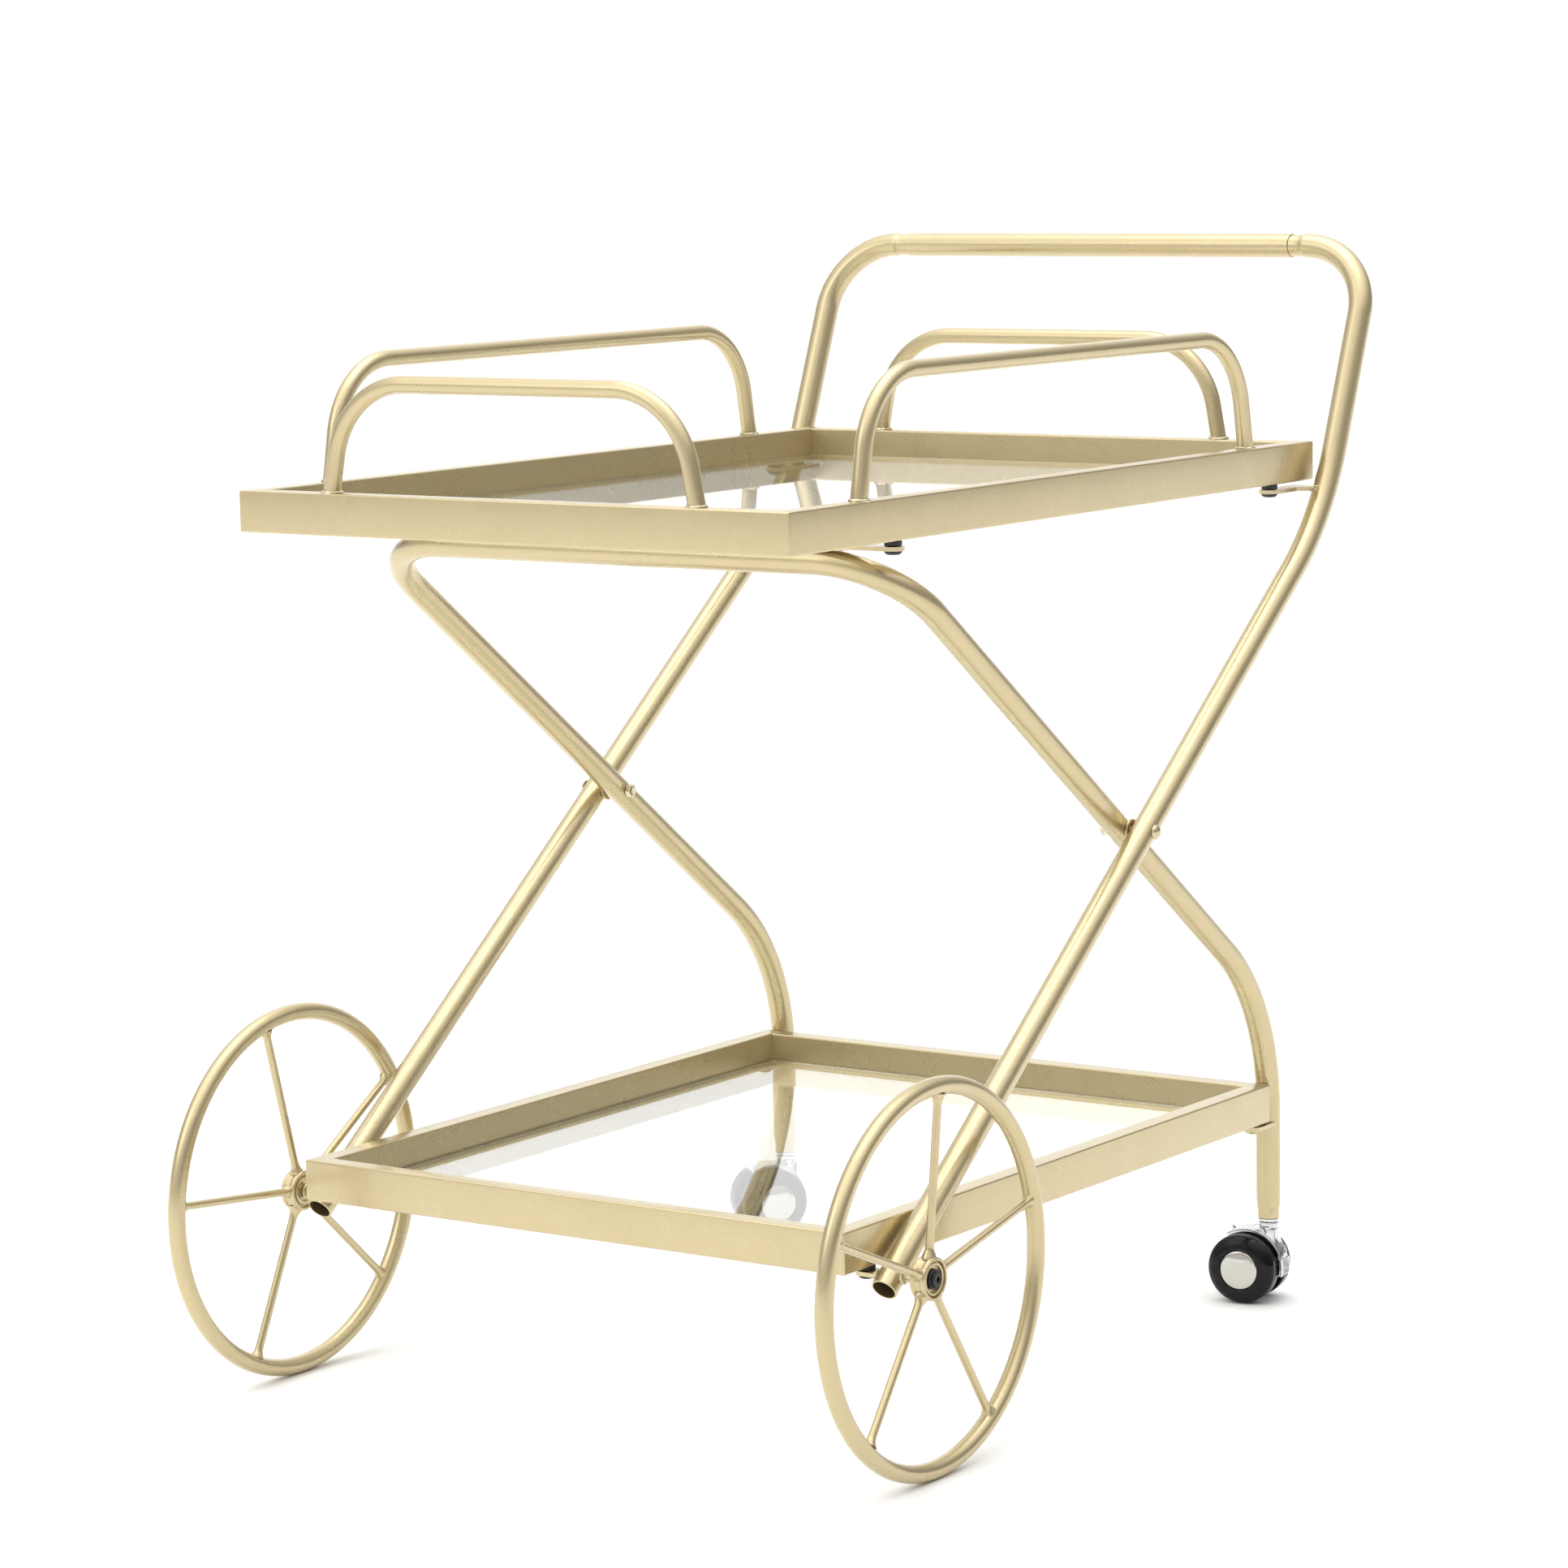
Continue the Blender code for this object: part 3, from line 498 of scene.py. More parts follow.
class Effects:
    """The shader groups that several finishes share, each built once."""

    def __init__(self) -> None:
        """Build every group."""
        self.flake = self._flake()
        self.wear = self._wear()
        self.handling = self._handling()
        self.scratches = self._scratches()

    @staticmethod
    def _group(name: str, inputs: dict[str, str], outputs: dict[str, str]) -> bpy.types.NodeTree:
        """An empty group with named sockets.

        Args:
            name: the group's name.
            inputs: socket kinds by name.
            outputs: socket kinds by name.

        Returns:
            The group's node tree.
        """
        tree = bpy.data.node_groups.new(name, "ShaderNodeTree")
        for label, kind in inputs.items():
            tree.interface.new_socket(label, in_out="INPUT", socket_type=kind)
        for label, kind in outputs.items():
            tree.interface.new_socket(label, in_out="OUTPUT", socket_type=kind)
        return tree

    def _flake(self) -> bpy.types.NodeTree:
        """Metal flakes in a clear binder, with slow clouds of painted reflection mottling toward the shade
        colour.
        """
        number = "NodeSocketFloat"
        colour = "NodeSocketColor"
        inputs = {"Place": "NodeSocketVector", "Paint": colour, "Flake": colour, "Shade": colour}
        inputs |= {"Flakes per metre": number, "Clouds per metre": number, "Peel": number}
        outputs = {"Colour": colour, "Sparkle": number, "Height": number}
        tree = self._group("Flake paint", inputs, outputs)
        w = Wiring(tree)
        take = w.add("NodeGroupInput").outputs
        place = take["Place"]
        flakes = w.add("ShaderNodeTexVoronoi", Vector=place, Scale=take["Flakes per metre"])
        clouds = w.add("ShaderNodeTexNoise", Vector=place, Scale=take["Clouds per metre"], Detail=5.0)
        split = w.add("ShaderNodeSeparateColor")
        w.join(flakes.outputs["Color"], split.inputs[0])
        bright = w.spread(split.outputs[0], 0.78, 1.0, 0.0, 0.22)
        dim = w.spread(split.outputs[1], 0.0, 0.25, 0.16, 0.0)
        # Slow noise blotches toward the shade colour: painted reflection mottling.
        reflection_mottle = w.spread(clouds.outputs["Fac"], 0.36, 0.66, 0.0, 0.14)
        ground = w.mixed(reflection_mottle, take["Paint"], take["Shade"])
        shaded = w.mixed(dim, ground, take["Shade"])
        lit = w.mixed(bright, shaded, take["Flake"])
        peel = w.add("ShaderNodeTexNoise", Vector=place, Scale=650.0, Detail=3.0)
        lumps = w.maths("MULTIPLY", peel.outputs["Fac"], take["Peel"])
        give = w.add("NodeGroupOutput").inputs
        w.join(lit, give["Colour"])
        w.join(bright, give["Sparkle"])
        w.join(lumps, give["Height"])
        return tree

    def _wear(self) -> bpy.types.NodeTree:
        """A mask on convex outer edges, broken up along their length, for wear and a painted edge
        highlight.
        """
        number = "NodeSocketFloat"
        inputs = {"Place": "NodeSocketVector", "Amount": number, "Breaks per metre": number}
        tree = self._group("Edge wear", inputs, {"Mask": number})
        w = Wiring(tree)
        take = w.add("NodeGroupInput").outputs
        geometry = w.add("ShaderNodeNewGeometry")
        edges = w.spread(geometry.outputs["Pointiness"], 0.515, 0.60, 0.0, 1.0)
        breaks = w.add("ShaderNodeTexNoise", Vector=take["Place"], Scale=take["Breaks per metre"])
        broken = w.spread(breaks.outputs["Fac"], 0.40, 0.62, 0.15, 1.0)
        both = w.maths("MULTIPLY", edges, broken)
        mask = w.maths("MULTIPLY", both, take["Amount"])
        w.join(mask, w.add("NodeGroupOutput").inputs["Mask"])
        return tree

    def _handling(self) -> bpy.types.NodeTree:
        """Soft patches that hands and cloths leave, with a little fine dust."""
        number = "NodeSocketFloat"
        inputs = {"Place": "NodeSocketVector", "Patches per metre": number, "Amount": number}
        tree = self._group("Handling marks", inputs, {"Mask": number, "Dust": number})
        w = Wiring(tree)
        take = w.add("NodeGroupInput").outputs
        patches = w.add("ShaderNodeTexNoise", Vector=take["Place"], Scale=take["Patches per metre"])
        patches.inputs["Detail"].default_value = 6.0
        patches.inputs["Distortion"].default_value = 0.6
        soft = w.spread(patches.outputs["Fac"], 0.42, 0.70, 0.0, 1.0)
        specks = w.add("ShaderNodeTexVoronoi", Vector=take["Place"], Scale=900.0)
        dots = w.spread(specks.outputs["Distance"], 0.05, 0.16, 1.0, 0.0)
        give = w.add("NodeGroupOutput").inputs
        w.join(w.maths("MULTIPLY", soft, take["Amount"]), give["Mask"])
        w.join(w.maths("MULTIPLY", dots, take["Amount"]), give["Dust"])
        return tree

    def _scratches(self) -> bpy.types.NodeTree:
        """Hair-fine scratches in two directions, as a height."""
        number = "NodeSocketFloat"
        inputs = {"Place": "NodeSocketVector", "Depth": number}
        tree = self._group("Fine scratches", inputs, {"Height": number, "Mask": number})
        w = Wiring(tree)
        take = w.add("NodeGroupInput").outputs
        masks = []
        for angles, stretch in (((0.3, 0.1, 0.7), (30, 900, 60)), ((1.1, 0.4, 2.2), (40, 55, 800))):
            turned_place = w.add("ShaderNodeMapping", Vector=take["Place"])
            turned_place.inputs["Rotation"].default_value = angles
            turned_place.inputs["Scale"].default_value = stretch
            lines = w.add("ShaderNodeTexNoise", Scale=1.0, Detail=2.0)
            w.join(turned_place.outputs[0], lines.inputs["Vector"])
            masks.append(w.spread(lines.outputs["Fac"], 0.66, 0.72, 0.0, 1.0))
        mask = w.maths("MAXIMUM", *masks)
        give = w.add("NodeGroupOutput").inputs
        w.join(mask, give["Mask"])
        w.join(w.maths("MULTIPLY", mask, take["Depth"]), give["Height"])
        return tree


def group_node(w: Wiring, tree: bpy.types.NodeTree, **values: object) -> bpy.types.Node:
    """A group placed in a material, with its own values.

    Args:
        w: the material's wiring.
        tree: the group.
        values: inputs by name, with underscores for spaces.

    Returns:
        The group's node.
    """
    node = w.add("ShaderNodeGroup")
    node.node_tree = tree
    for name, value in values.items():
        socket = node.inputs[name.replace("_", " ")]
        if isinstance(value, bpy.types.NodeSocket):
            w.join(value, socket)
        else:
            socket.default_value = value
    return node


def new_material(name: str) -> tuple[bpy.types.Material, Wiring, bpy.types.Node, bpy.types.NodeSocket]:
    """A material with its shader and the piece's own coordinates.

    Args:
        name: the material's name.

    Returns:
        The material, its wiring, its Principled shader and its place socket.
    """
    material = bpy.data.materials.new(name)
    material.use_nodes = True
    w = Wiring(material.node_tree)
    shader = material.node_tree.nodes["Principled BSDF"]
    place = w.add("ShaderNodeTexCoord").outputs["Object"]
    return material, w, shader, place


def bump_into(w: Wiring, shader: bpy.types.Node, height: object, distance: float, strength: float) -> None:
    """Feed a height to a shader's normal through one Bump node."""
    bump = w.add("ShaderNodeBump", Height=height, Distance=distance, Strength=strength)
    w.join(bump.outputs["Normal"], shader.inputs["Normal"])


@dataclass(frozen=True)
class PaintFinish:
    """Satin metallic paint, with flakes, soft clouds of painted reflection, peel, and worn edges with a
    painted edge highlight.
    """

    name: str
    paint: tuple[float, float, float, float]
    flake: tuple[float, float, float, float]
    shade: tuple[float, float, float, float]
    metallic: float = 0.78
    roughness: float = 0.27
    coat: float = 0.45
    peel: float = 1.0
    wear: float = 0.28
    bump: float = 0.12

    def material(self, effects: Effects) -> bpy.types.Material:
        """Build the paint.

        Args:
            effects: the shared shader groups.

        Returns:
            The material.
        """
        material, w, shader, place = new_material(self.name)
        paint = group_node(
            w,
            effects.flake,
            Place=place,
            Paint=self.paint,
            Flake=self.flake,
            Shade=self.shade,
            Flakes_per_metre=3400.0,
            Clouds_per_metre=22.0,
            Peel=self.peel,
        )
        wear = group_node(w, effects.wear, Place=place, Amount=self.wear, Breaks_per_metre=160.0)
        marks = group_node(
            w, effects.handling, Place=place, Patches_per_metre=30.0, Amount=0.5
        )
        # Convex edges mix toward the lighter flake colour: wear, and a painted edge highlight.
        colour = w.mixed(wear.outputs["Mask"], paint.outputs["Colour"], self.flake)
        w.join(colour, shader.inputs["Base Color"])
        dull = w.maths("MULTIPLY", marks.outputs["Mask"], 0.10)
        glint = w.maths("MULTIPLY", paint.outputs["Sparkle"], 0.12)
        rough = w.maths("ADD", w.maths("ADD", dull, self.roughness), glint)
        w.join(rough, shader.inputs["Roughness"])
        shader.inputs["Metallic"].default_value = self.metallic
        shader.inputs["Coat Weight"].default_value = self.coat
        shader.inputs["Coat Roughness"].default_value = 0.14
        bump_into(w, shader, paint.outputs["Height"], 0.00012, self.bump)
        return material


@dataclass(frozen=True)
class MetalFinish:
    """Plated or bare metal with handling marks and fine scratches."""

    name: str
    metal: tuple[float, float, float, float]
    stain: tuple[float, float, float, float]
    roughness: float
    metallic: float = 1.0
    stain_amount: float = 0.25
    scratch: float = 0.15

    def material(self, effects: Effects) -> bpy.types.Material:
        """Build the metal.

        Args:
            effects: the shared shader groups.

        Returns:
            The material.
        """
        material, w, shader, place = new_material(self.name)
        marks = group_node(
            w, effects.handling, Place=place, Patches_per_metre=90.0, Amount=self.stain_amount
        )
        lines = group_node(w, effects.scratches, Place=place, Depth=1.0)
        colour = w.mixed(marks.outputs["Mask"], self.metal, self.stain)
        w.join(colour, shader.inputs["Base Color"])
        patchy = w.maths("MULTIPLY", marks.outputs["Mask"], 0.35)
        w.join(w.maths("ADD", patchy, self.roughness), shader.inputs["Roughness"])
        shader.inputs["Metallic"].default_value = self.metallic
        bump_into(w, shader, lines.outputs["Height"], 0.00004, self.scratch)
        return material


@dataclass(frozen=True)
class PlasticFinish:
    """Moulded plastic with a fine grain, scuffs and a little dust."""

    name: str
    body: tuple[float, float, float, float]
    scuff: tuple[float, float, float, float]
    roughness: float
    grain: float
    coat: float = 0.0
    specular: float = 0.5

    def material(self, effects: Effects) -> bpy.types.Material:
        """Build the plastic.

        Args:
            effects: the shared shader groups.

        Returns:
            The material.
        """
        material, w, shader, place = new_material(self.name)
        marks = group_node(w, effects.handling, Place=place, Patches_per_metre=70.0, Amount=0.6)
        lines = group_node(w, effects.scratches, Place=place, Depth=0.6)
        grain = w.add("ShaderNodeTexNoise", Vector=place, Scale=3000.0, Detail=2.0)
        dusty = w.maths("MULTIPLY", marks.outputs["Dust"], MARK_DUST)
        scuff = w.maths("MULTIPLY", marks.outputs["Mask"], MARK_SCUFF)
        scuffed = w.maths("MAXIMUM", dusty, scuff)
        w.join(w.mixed(scuffed, self.body, self.scuff), shader.inputs["Base Color"])
        patchy = w.maths("MULTIPLY", marks.outputs["Mask"], MARK_SCUFF)
        w.join(w.maths("ADD", patchy, self.roughness), shader.inputs["Roughness"])
        shader.inputs["Coat Weight"].default_value = self.coat
        shader.inputs["Coat Roughness"].default_value = 0.06
        shader.inputs["Specular IOR Level"].default_value = self.specular
        height = w.maths("ADD", lines.outputs["Height"], grain.outputs["Fac"])
        bump_into(w, shader, height, 0.00004, self.grain)
        return material


@dataclass(frozen=True)
class GlassFinish:
    """Clear float glass with faint wipe marks."""

    name: str
    tint: tuple[float, float, float, float]
    smear: tuple[float, float, float, float]

    def material(self, effects: Effects) -> bpy.types.Material:
        """Build the glass.

        Args:
            effects: the shared shader groups.

        Returns:
            The material.
        """
        material, w, shader, place = new_material(self.name)
        marks = group_node(w, effects.handling, Place=place, Patches_per_metre=14.0, Amount=1.0)
        lines = group_node(w, effects.scratches, Place=place, Depth=0.2)
        faint = w.maths("MULTIPLY", marks.outputs["Mask"], 0.5)
        w.join(w.mixed(faint, self.tint, self.smear), shader.inputs["Base Color"])
        hazy = w.maths("MULTIPLY", marks.outputs["Mask"], 0.012)
        w.join(w.maths("ADD", hazy, 0.0), shader.inputs["Roughness"])
        shader.inputs["Metallic"].default_value = 0.0
        shader.inputs["Transmission Weight"].default_value = 1.0
        shader.inputs["IOR"].default_value = 1.5
        bump_into(w, shader, lines.outputs["Height"], 0.00001, 0.02)
        path = w.add("ShaderNodeLightPath").outputs
        unseen = w.maths("MAXIMUM", path["Is Shadow Ray"], path["Is Diffuse Ray"])
        clear = w.add("ShaderNodeBsdfTransparent", Color=self.tint)
        both = w.add("ShaderNodeMixShader")
        w.join(unseen, both.inputs[0])
        w.join(shader.outputs[0], both.inputs[1])
        w.join(clear.outputs[0], both.inputs[2])
        w.join(both.outputs[0], material.node_tree.nodes["Material Output"].inputs["Surface"])
        return material


def make_finishes(effects: Effects) -> dict[Finish, bpy.types.Material]:
    """Every finish of the cart.

    Args:
        effects: the shared shader groups.

    Returns:
        The materials by finish.
    """
    paint = PaintFinish(
        "Champagne satin paint",
        (0.565, 0.465, 0.265, 1.0),
        (0.780, 0.690, 0.500, 1.0),
        (0.480, 0.390, 0.215, 1.0),
    )
    weld = PaintFinish(
        "Champagne paint over weld",
        (0.560, 0.468, 0.280, 1.0),
        (0.880, 0.810, 0.640, 1.0),
        (0.430, 0.340, 0.180, 1.0),
        roughness=0.20,
        # A strong edge mask toward a pale flake colour lightens the bead ridges: painted highlight.
        wear=0.8,
        bump=0.20,
    )
    bore = MetalFinish(
        "Bare tube bore",
        (0.230, 0.165, 0.075, 1.0),
        (0.090, 0.060, 0.030, 1.0),
        0.45,
        metallic=0.7,
        stain_amount=0.9,
        scratch=0.4,
    )
    chrome = MetalFinish("Bright chrome", (0.66, 0.66, 0.67, 1.0), (0.52, 0.51, 0.49, 1.0), 0.07)
    cover = MetalFinish("Polished cover plate", (0.58, 0.56, 0.52, 1.0), (0.50, 0.48, 0.44, 1.0), 0.04)
    tread = PlasticFinish(
        "Glossy black roller",
        (0.003, 0.003, 0.0035, 1.0),
        (0.02, 0.02, 0.02, 1.0),
        0.07,
        0.03,
        specular=0.24,
    )
    grommet = PlasticFinish(
        "Satin black grommet", (0.012, 0.012, 0.013, 1.0), (0.07, 0.07, 0.07, 1.0), 0.42, 0.18
    )
    glass = GlassFinish("Clear float glass", (0.985, 1.0, 0.993, 1.0), (0.95, 0.965, 0.96, 1.0))
    return {
        Finish.PAINT: paint.material(effects),
        Finish.WELD: weld.material(effects),
        Finish.BORE: bore.material(effects),
        Finish.CHROME: chrome.material(effects),
        Finish.PLATE: cover.material(effects),
        Finish.GLOSS_BLACK: tread.material(effects),
        Finish.SATIN_BLACK: grommet.material(effects),
        Finish.GLASS: glass.material(effects),
    }


# ---------------------------------------------------------------- workshop


@dataclass
class Workshop:
    """Turns shapes into pieces that carry a finish and ride on a body."""

    finishes: dict[Finish, bpy.types.Material]
    sharp: float = 38.0

    def piece(
        self,
        name: str,
        shape: bmesh.types.BMesh,
        finish: Finish,
        body: str,
        stands_for: Sequence[str] = (),
        inner: Finish | None = None,
    ) -> bpy.types.Object:
        """Make one piece of the cart.

        Args:
            name: the piece's name.
            shape: its shape, in the cart's frame.
            finish: the finish of its outside.
            body: the body that it moves with.
            stands_for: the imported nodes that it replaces.
            inner: the finish of its inside, if it shows.

        Returns:
            The piece.
        """
        mesh = bpy.data.meshes.new(name)
        shape.to_mesh(mesh)
        shape.free()
        mesh.materials.append(self.finishes[finish])
        if inner:
            mesh.materials.append(self.finishes[inner])
        mesh.shade_smooth()
        mesh.set_sharp_from_angle(angle=math.radians(self.sharp))
        made = bpy.data.objects.new(name, mesh)
        bpy.context.scene.collection.objects.link(made)
        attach(made, body)
        if stands_for:
            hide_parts(*stands_for)
        LOG.info("%s on %s, %d faces", name, body, len(mesh.polygons))
        return made

    def dress(self, node: str, finish: Finish) -> None:
        """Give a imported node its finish."""
        obj = frame["nodes"][node]
        obj.data.materials.clear()
        obj.data.materials.append(self.finishes[finish])
        LOG.info("%s keeps its solid", node)


def joint_place(name: str) -> tuple[Vector, Vector]:
    """A joint's point and its axis.

    Args:
        name: the joint's name in the record.

    Returns:
        A point on the axis, and the axis.
    """
    joint = next(j for j in frame["record"]["behaviour"]["joints"] if j["name"] == name)
    return Vector(joint["pos_m"]), Vector(joint["axis"])


# ---------------------------------------------------------------- frame tubes


@dataclass
class TubeFrame:
    """The two crossed frames of bent round tube."""

    shop: Workshop
    wall: float = 1.2 * MM
    knee_inset: float = 10.4 * MM
    knee_drop: float = 59.0 * MM
    knee_bend: float = 220.0 * MM
    handle_bend: float = 57.0 * MM
    neck_length: float = 9.0 * MM
    neck_scale: float = 0.90
    tail: float = 15.0 * MM
    elbow_rise: float = 62.5 * MM
    elbow_bend: float = 165.0 * MM
    corner_bend: float = 65.0 * MM
    lip: float = 0.25 * MM

    def __post_init__(self) -> None:
        """Work out the tubes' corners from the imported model."""
        bar_low, bar_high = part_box("handle_bar")
        side_low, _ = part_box("handle_side_near")
        _, top_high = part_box("top_tray_frame")
        _, lower_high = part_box("lower_tray_frame")
        inner_low, inner_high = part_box("caster_frame")
        leg, _ = joint_place("caster_near_swivel")
        wheel, _ = joint_place("big_wheel_near_spin")
        self.radius = (bar_high.z - bar_low.z) / 2
        self.bar_half = bar_high.y
        self.outer_y = -side_low.y - self.radius
        self.inner_y = -leg.y
        self.axle = Vector((wheel.x, 0, wheel.z))
        self.knee = Vector((top_high.x - self.knee_inset, 0, top_high.z - self.knee_drop))
        self.handle = (bar_low + bar_high) / 2
        self.crossbar = Vector((inner_low.x + self.radius, 0, inner_high.z - self.radius))
        self.elbow = Vector((leg.x, 0, lower_high.z + self.elbow_rise))
        self.leg_end = Vector((leg.x, 0, inner_low.z))

    def build(self) -> None:
        """Make every tube."""
        for side in Side:
            self._handle_side(side)
        self._handle_bar()
        self._caster_frame()

    def hollow(
        self, path: Ring, scales: Sequence[float] | None = None, dent: Callable | None = None
    ) -> bmesh.types.BMesh:
        """A tube with a wall and rounded lips, open at both ends.

        Args:
            path: the centre line.
            scales: a factor on the radius at each point.
            dent: a factor on the radius from index and angle.

        Returns:
            The tube, whose bore has the second material.
        """
        sizes = list(scales) if scales else [1.0] * len(path)
        first = path[0].lerp(path[1], self.lip / (path[1] - path[0]).length)
        last = path[-1].lerp(path[-2], self.lip / (path[-2] - path[-1]).length)
        path = [path[0], first, *path[1:-1], last, path[-1]]
        trim = 1.0 - self.lip / self.radius
        outer_sizes = [sizes[0] * trim, sizes[0], *sizes[1:-1], sizes[-1], sizes[-1] * trim]
        inner_sizes = [sizes[0], sizes[0], *sizes[1:-1], sizes[-1], sizes[-1]]
        outside = sweep(path, self.radius, 32, outer_sizes, dent=dent)
        inside = sweep(path, self.radius - self.wall, 32, inner_sizes, dent=dent)
        return skin(outside + inside[::-1], closed=True, inner_from=len(outside))

    def _at(self, point: Vector, side: Side, offset: float) -> Vector:
        """A point of the side view, moved out to one side."""
        return Vector((point.x, side.value * offset, point.z))

    def _handle_side(self, side: Side) -> None:
        """A bent side: from its open foot past the knee and round into the bar."""
        foot = self.axle - (self.knee - self.axle).normalized() * self.tail
        corners = [self._at(p, side, self.outer_y) for p in (foot, self.knee, self.handle)]
        corners.append(self._at(self.handle, side, self.bar_half))
        path = bent_path(corners, [self.knee_bend, self.handle_bend])
        stops = (1.45, 1.25, 1.1, 0.95, 0.5)
        shoulder = [
            self._at(self.handle, side, self.bar_half + self.neck_length * k) for k in stops
        ]
        path[-1:-1] = shoulder
        squeeze = 1.0 - self.neck_scale
        necks = [1.0, 1.0 - squeeze * 0.3, 1.0 - squeeze * 0.75, self.neck_scale, self.neck_scale]
        scales = [1.0] * (len(path) - 6) + necks + [self.neck_scale]
        name = "handle_side_" + side.word
        shape = self.hollow(path, scales)
        self.shop.piece("tube_" + name, shape, Finish.PAINT, "frame", [name], Finish.BORE)

    def _handle_bar(self) -> None:
        """The straight grip."""
        ends = [self._at(self.handle, side, self.bar_half) for side in Side]
        shape = self.hollow(spaced(ends, 0.04))
        self.shop.piece("tube_handle_bar", shape, Finish.PAINT, "frame", ["handle_bar"], Finish.BORE)

    def _caster_frame(self) -> None:
        """The inner tube: a crossbar under the top tray and two legs."""
        down = (self.leg_end, self.elbow, self.crossbar)
        corners = [self._at(p, Side.NEAR, self.inner_y) for p in down]
        corners += [self._at(p, Side.FAR, self.inner_y) for p in reversed(down)]
        bends = [self.elbow_bend, self.corner_bend, self.corner_bend, self.elbow_bend]
        path = bent_path(corners, bends)
        rise = (1.2, 3.0, 5.0, 6.0, 7.0, 8.0, 9.0, 10.0, 12.0, 15.0, 19.0)
        shrink = (0.885, 0.885, 0.89, 0.90, 0.915, 0.935, 0.955, 0.97, 0.985, 0.995, 1.0)
        path[1:1] = [path[0] + UP * h * MM for h in rise]
        path[-1:-1] = [path[-1] + UP * h * MM for h in reversed(rise)]
        middle = [1.0] * (len(path) - 2 * len(rise) - 2)
        scales = [0.88, *shrink, *middle, *reversed(shrink), 0.88]
        count = len(path)

        def crimp(index: int, angle: float) -> float:
            """Shallow dents that hold the caster's socket."""
            from_end = min(index, count + 1 - index)
            depth = math.exp(-(((from_end - 7) / 1.6) ** 2))
            return 1.0 - 0.13 * depth * max(0.0, math.cos(4 * angle)) ** 3

        shape = self.hollow(path, scales, crimp)
        self.shop.piece(
            "tube_caster_frame", shape, Finish.PAINT, "frame", ["caster_frame"], Finish.BORE
        )


# ---------------------------------------------------------------- trays


@dataclass
class Tray:
    """A mitred frame with a ledge, and the pane that lies on it."""

    shop: Workshop
    word: str
    wall: float = 15.0 * MM
    ledge: float = 9.0 * MM
    corner: float = 1.6 * MM
    edge: float = 1.5 * MM
    play: float = 1.0 * MM
    pane_corner: float = 3.0 * MM
    pane_gap: float = 0.3 * MM

    def build(self) -> None:
        """Make the frame, its corner welds and the pane."""
        self._frame()
        self._mitres()
        self._pane()

    def _frame(self) -> None:
        """The frame's section carried round its four corners."""
        name = self.word + "_tray_frame"
        low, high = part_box(name)
        pane_low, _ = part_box(self.word + "_glass")
        seat = pane_low.z - self.pane_gap
        inner = self.wall
        section = [
            (0.0, low.z),
            (0.0, high.z),
            (inner, high.z),
            (inner, seat),
            (inner + self.ledge, seat),
            (inner + self.ledge, low.z),
        ]
        rings = []
        for inset, height in softened(section, self.edge, 4, closed=True):
            loop = rounded_box_loop(low, high, inset, self.corner)
            rings.append([point + UP * height for point in loop])
        self.shop.piece("frame_" + self.word, skin(rings, closed=True), Finish.PAINT, "frame", [name])

    def _mitres(self) -> None:
        """The dressed weld across the top of each corner."""
        low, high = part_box(self.word + "_tray_frame")
        shapes = []
        for index, (x, y, dx, dy) in enumerate(
            (
                (low.x, low.y, 1, 1),
                (low.x, high.y, 1, -1),
                (high.x, low.y, -1, 1),
                (high.x, high.y, -1, -1),
            )
        ):
            level = high.z - 0.05 * MM
            start = Vector((x + dx * self.corner, y + dy * self.corner, level))
            reach = self.wall - self.edge * 0.6
            end = Vector((x + dx * reach, y + dy * reach, level))
            path = [start.lerp(end, k / 12) for k in range(13)]
            ripple = lumpy(index * 3.1, 0.35, 3.0 * MM)
            rings = sweep(path, 1.1 * MM, 10, [ripple(p) for p in path])
            for ring, centre in zip(rings, path):
                for point in ring:
                    point.z = centre.z + (point.z - centre.z) * 0.16
            shapes.append(skin(rings, caps=True))
        self.shop.piece("mitre_welds_" + self.word, merged(*shapes), Finish.PAINT, "frame")

    def _pane(self) -> None:
        """The glass, with arrissed edges and rounded corners."""
        name = self.word + "_glass"
        low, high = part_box(name)
        arris = 0.8 * MM
        section = [(arris, low.z), (0.0, low.z + arris), (0.0, high.z - arris), (arris, high.z)]
        rings = []
        for inset, height in softened(section, 0.3 * MM, 2):
            loop = rounded_box_loop(low, high, inset, self.pane_corner)
            rings.append([point + UP * height for point in loop])
        self.shop.piece("pane_" + self.word, skin(rings, caps=True), Finish.GLASS, "frame", [name])


